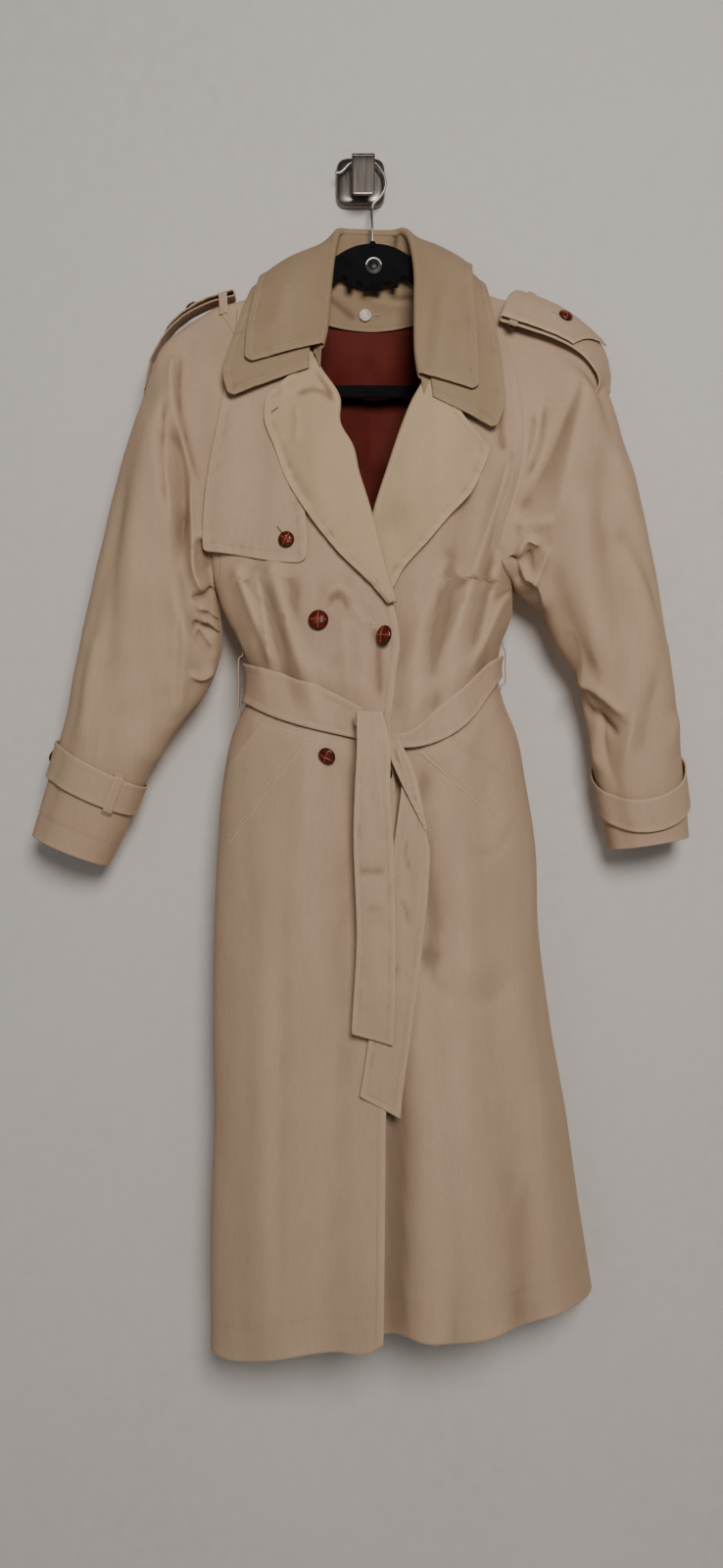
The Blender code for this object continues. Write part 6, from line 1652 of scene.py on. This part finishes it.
def makeStitches(name, rows, pitch=3.2, length=2.3, radius=0.27):
    # Each stitch is a bead of ten points: two sunk ends and two rings of four
    points, faces, total = [], [], 0
    for path, facing in rows:
        if len(path) < 3:
            continue
        reach = arcs(path[:, None], 0)[:, 0]
        at = np.arange(pitch / 2, reach[-1], pitch)
        centre = np.stack([np.interp(at, reach, path[:, k]) for k in range(3)], -1)
        ahead = np.stack([np.interp(at + 0.5, reach, path[:, k]) for k in range(3)], -1)
        behind = np.stack([np.interp(at - 0.5, reach, path[:, k]) for k in range(3)], -1)
        up = unit(np.stack([np.interp(at, reach, facing[:, k]) for k in range(3)], -1))
        run = unit(ahead - behind)
        side = np.cross(run, up)
        ends = [(-0.5, 0, -0.3), (0.5, 0, -0.3)]
        ringOf = [(s, w, h) for s in (-0.27, 0.27) for w, h in ((1, 0.1), (0, 0.95), (-1, 0.1), (0, -0.5))]
        shape = np.array(ends + ringOf)
        beads = (centre[:, None] + shape[None, :, 0:1] * length * run[:, None]
                 + shape[None, :, 1:2] * radius * side[:, None]
                 + shape[None, :, 2:3] * radius * up[:, None])
        fan = [(0, 2 + (k + 1) % 4, 2 + k) for k in range(4)] + [(1, 6 + k, 6 + (k + 1) % 4) for k in range(4)]
        walls = [(2 + k, 2 + (k + 1) % 4, 6 + (k + 1) % 4, 6 + k) for k in range(4)]
        start = total + 10 * np.arange(len(centre))[:, None, None]
        faces.append((np.array(fan)[None] + start).reshape(-1, 3))
        faces.append((np.array(walls)[None] + start).reshape(-1, 4))
        points.append(beads.reshape(-1, 3))
        total += len(beads) * 10
    item = meshFrom(name, np.concatenate(points), faces, (thread,))
    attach(item, "root")
    print(name, total // 10, "stitches")


def edgeRows(shell, sides, insets):
    return [alongEdge(shell, side, inset, sides) for side in sides for inset in insets]


makeStitches("stitches_lapels", edgeRows(lapelRightShell, ("start", "high"), (6.5,))
             + edgeRows(lapelLeftShell, ("start", "high"), (6.5,)))
makeStitches("stitches_collar", edgeRows(collarUpperShell, ("start", "end", "high"), (6.5,))
             + edgeRows(collarUnderShell, ("start", "end", "high"), (6.5,)))
makeStitches("stitches_flap", edgeRows(flapShell, ("start", "end", "high"), (7.5,)))
makeStitches("stitches_belt", [row for shell in beltShells[:3]
                               for row in edgeRows(shell, ("low", "high"), (1.5, 5.5))]
             + [row for shell in beltShells[3:5] for row in edgeRows(shell, ("start", "end", "high"), (1.5, 5.0))])
makeStitches("stitches_cuffs", edgeRows(cuffRightShell, ("low", "high", "end"), (4.5,))
             + edgeRows(cuffLeftShell, ("low", "high", "end"), (4.5,))
             + [alongEdge(shell, "high", 24, ()) for shell in (sleeveRightShell, sleeveLeftShell)])
makeStitches("stitches_pockets", edgeRows(weltRightShell, ("start", "end", "high"), (1.2, 6.0))
             + edgeRows(weltLeftShell, ("start", "end", "high"), (1.2, 6.0)))
makeStitches("stitches_epaulettes", edgeRows(epauletteRightShell, ("low", "high", "end"), (5.0,))
             + edgeRows(epauletteLeftShell, ("low", "high", "end"), (5.0,)))
makeStitches("stitches_fronts", [alongEdge(frontRightShell, "end", 7, ())]
             + [alongEdge((shell[0][:, :99], shell[1][:, :99]), "start", inset, ())
                for shell in (frontLeftShell, frontRightShell) for inset in (2, 9)])
print("stitching is in")


# Camera, light and stage
def addLight(name, place, target, size, power, colour):
    data = bpy.data.lights.new(name, "AREA")
    data.shape, data.size, data.energy, data.color = "DISK", size, power, colour
    item = bpy.data.objects.new(name, data)
    item.location = place
    item.rotation_euler = (Vector(target) - Vector(place)).to_track_quat("-Z", "Y").to_euler()
    item.visible_camera = False
    bpy.context.scene.collection.objects.link(item)


def makeStage():
    camera = bpy.data.cameras.new("camera")
    camera.lens, camera.sensor_width = 27, 36
    item = bpy.data.objects.new("camera", camera)
    item.location, item.rotation_euler = (0.00105, -1.26, -0.6418), (np.pi / 2, 0, 0)
    bpy.context.scene.collection.objects.link(item)
    bpy.context.scene.camera = item
    plaster = plainLook("plaster", (0.52, 0.488, 0.462), (0.48, 0.449, 0.422), 60, (0.9, 1.0), 0.15, 0.0015, {})
    floor = plainLook("paleFloor", (0.54, 0.53, 0.515), (0.50, 0.49, 0.475), 12, (0.7, 0.85), 0.05, 0.002, {})
    tree = plaster.node_tree
    shader, output = tree.nodes["Principled BSDF"], tree.nodes["Material Output"]
    behind = addNode(tree, "NewGeometry").outputs["Backfacing"]
    gone = addNode(tree, "BsdfTransparent")
    oneSided = addNode(tree, "MixShader", {0: behind, 1: shader.outputs[0], 2: gone.outputs[0]})
    tree.links.new(oneSided.outputs[0], output.inputs["Surface"])
    for name, corners, look in (
            ("backdrop", ((-4, 0.002, -1.7), (4, 0.002, -1.7), (4, 0.002, 2.2), (-4, 0.002, 2.2)), plaster),
            ("floor", ((-6, -6, -1.7), (6, -6, -1.7), (6, 6, -1.7), (-6, 6, -1.7)), floor)):
        mesh = bpy.data.meshes.new(name)
        mesh.from_pydata(corners, [], [(0, 1, 2, 3)])
        mesh.materials.append(look)
        stageItem = bpy.data.objects.new(name, mesh)
        bpy.context.scene.collection.objects.link(stageItem)
        stageItem.visible_shadow = name == "floor"  # the rear light reaches the back through the wall
        stageItem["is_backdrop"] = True
    addLight("keyLight", (0.32, -2.0, 0.12), (0, 0, -0.6), 0.8, 42, (1.0, 0.97, 0.93))
    addLight("fillLight", (-1.5, -2.2, -0.2), (0, 0, -0.7), 1.8, 5, (0.95, 0.97, 1.0))
    addLight("rearLight", (0.8, 2.6, 1.0), (0, 0, -0.6), 2.2, 40, (1.0, 0.98, 0.96))
    world = bpy.data.worlds.new("studio")
    bpy.context.scene.world = world
    world.use_nodes = True
    world.node_tree.nodes["Background"].inputs[0].default_value = (0.80, 0.80, 0.80, 1)
    world.node_tree.nodes["Background"].inputs[1].default_value = 0.13


makeStage()

triangles = sum(sum(len(face.vertices) - 2 for face in item.data.polygons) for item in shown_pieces()
                if item.type == "MESH")
print("triangles shown:", triangles)
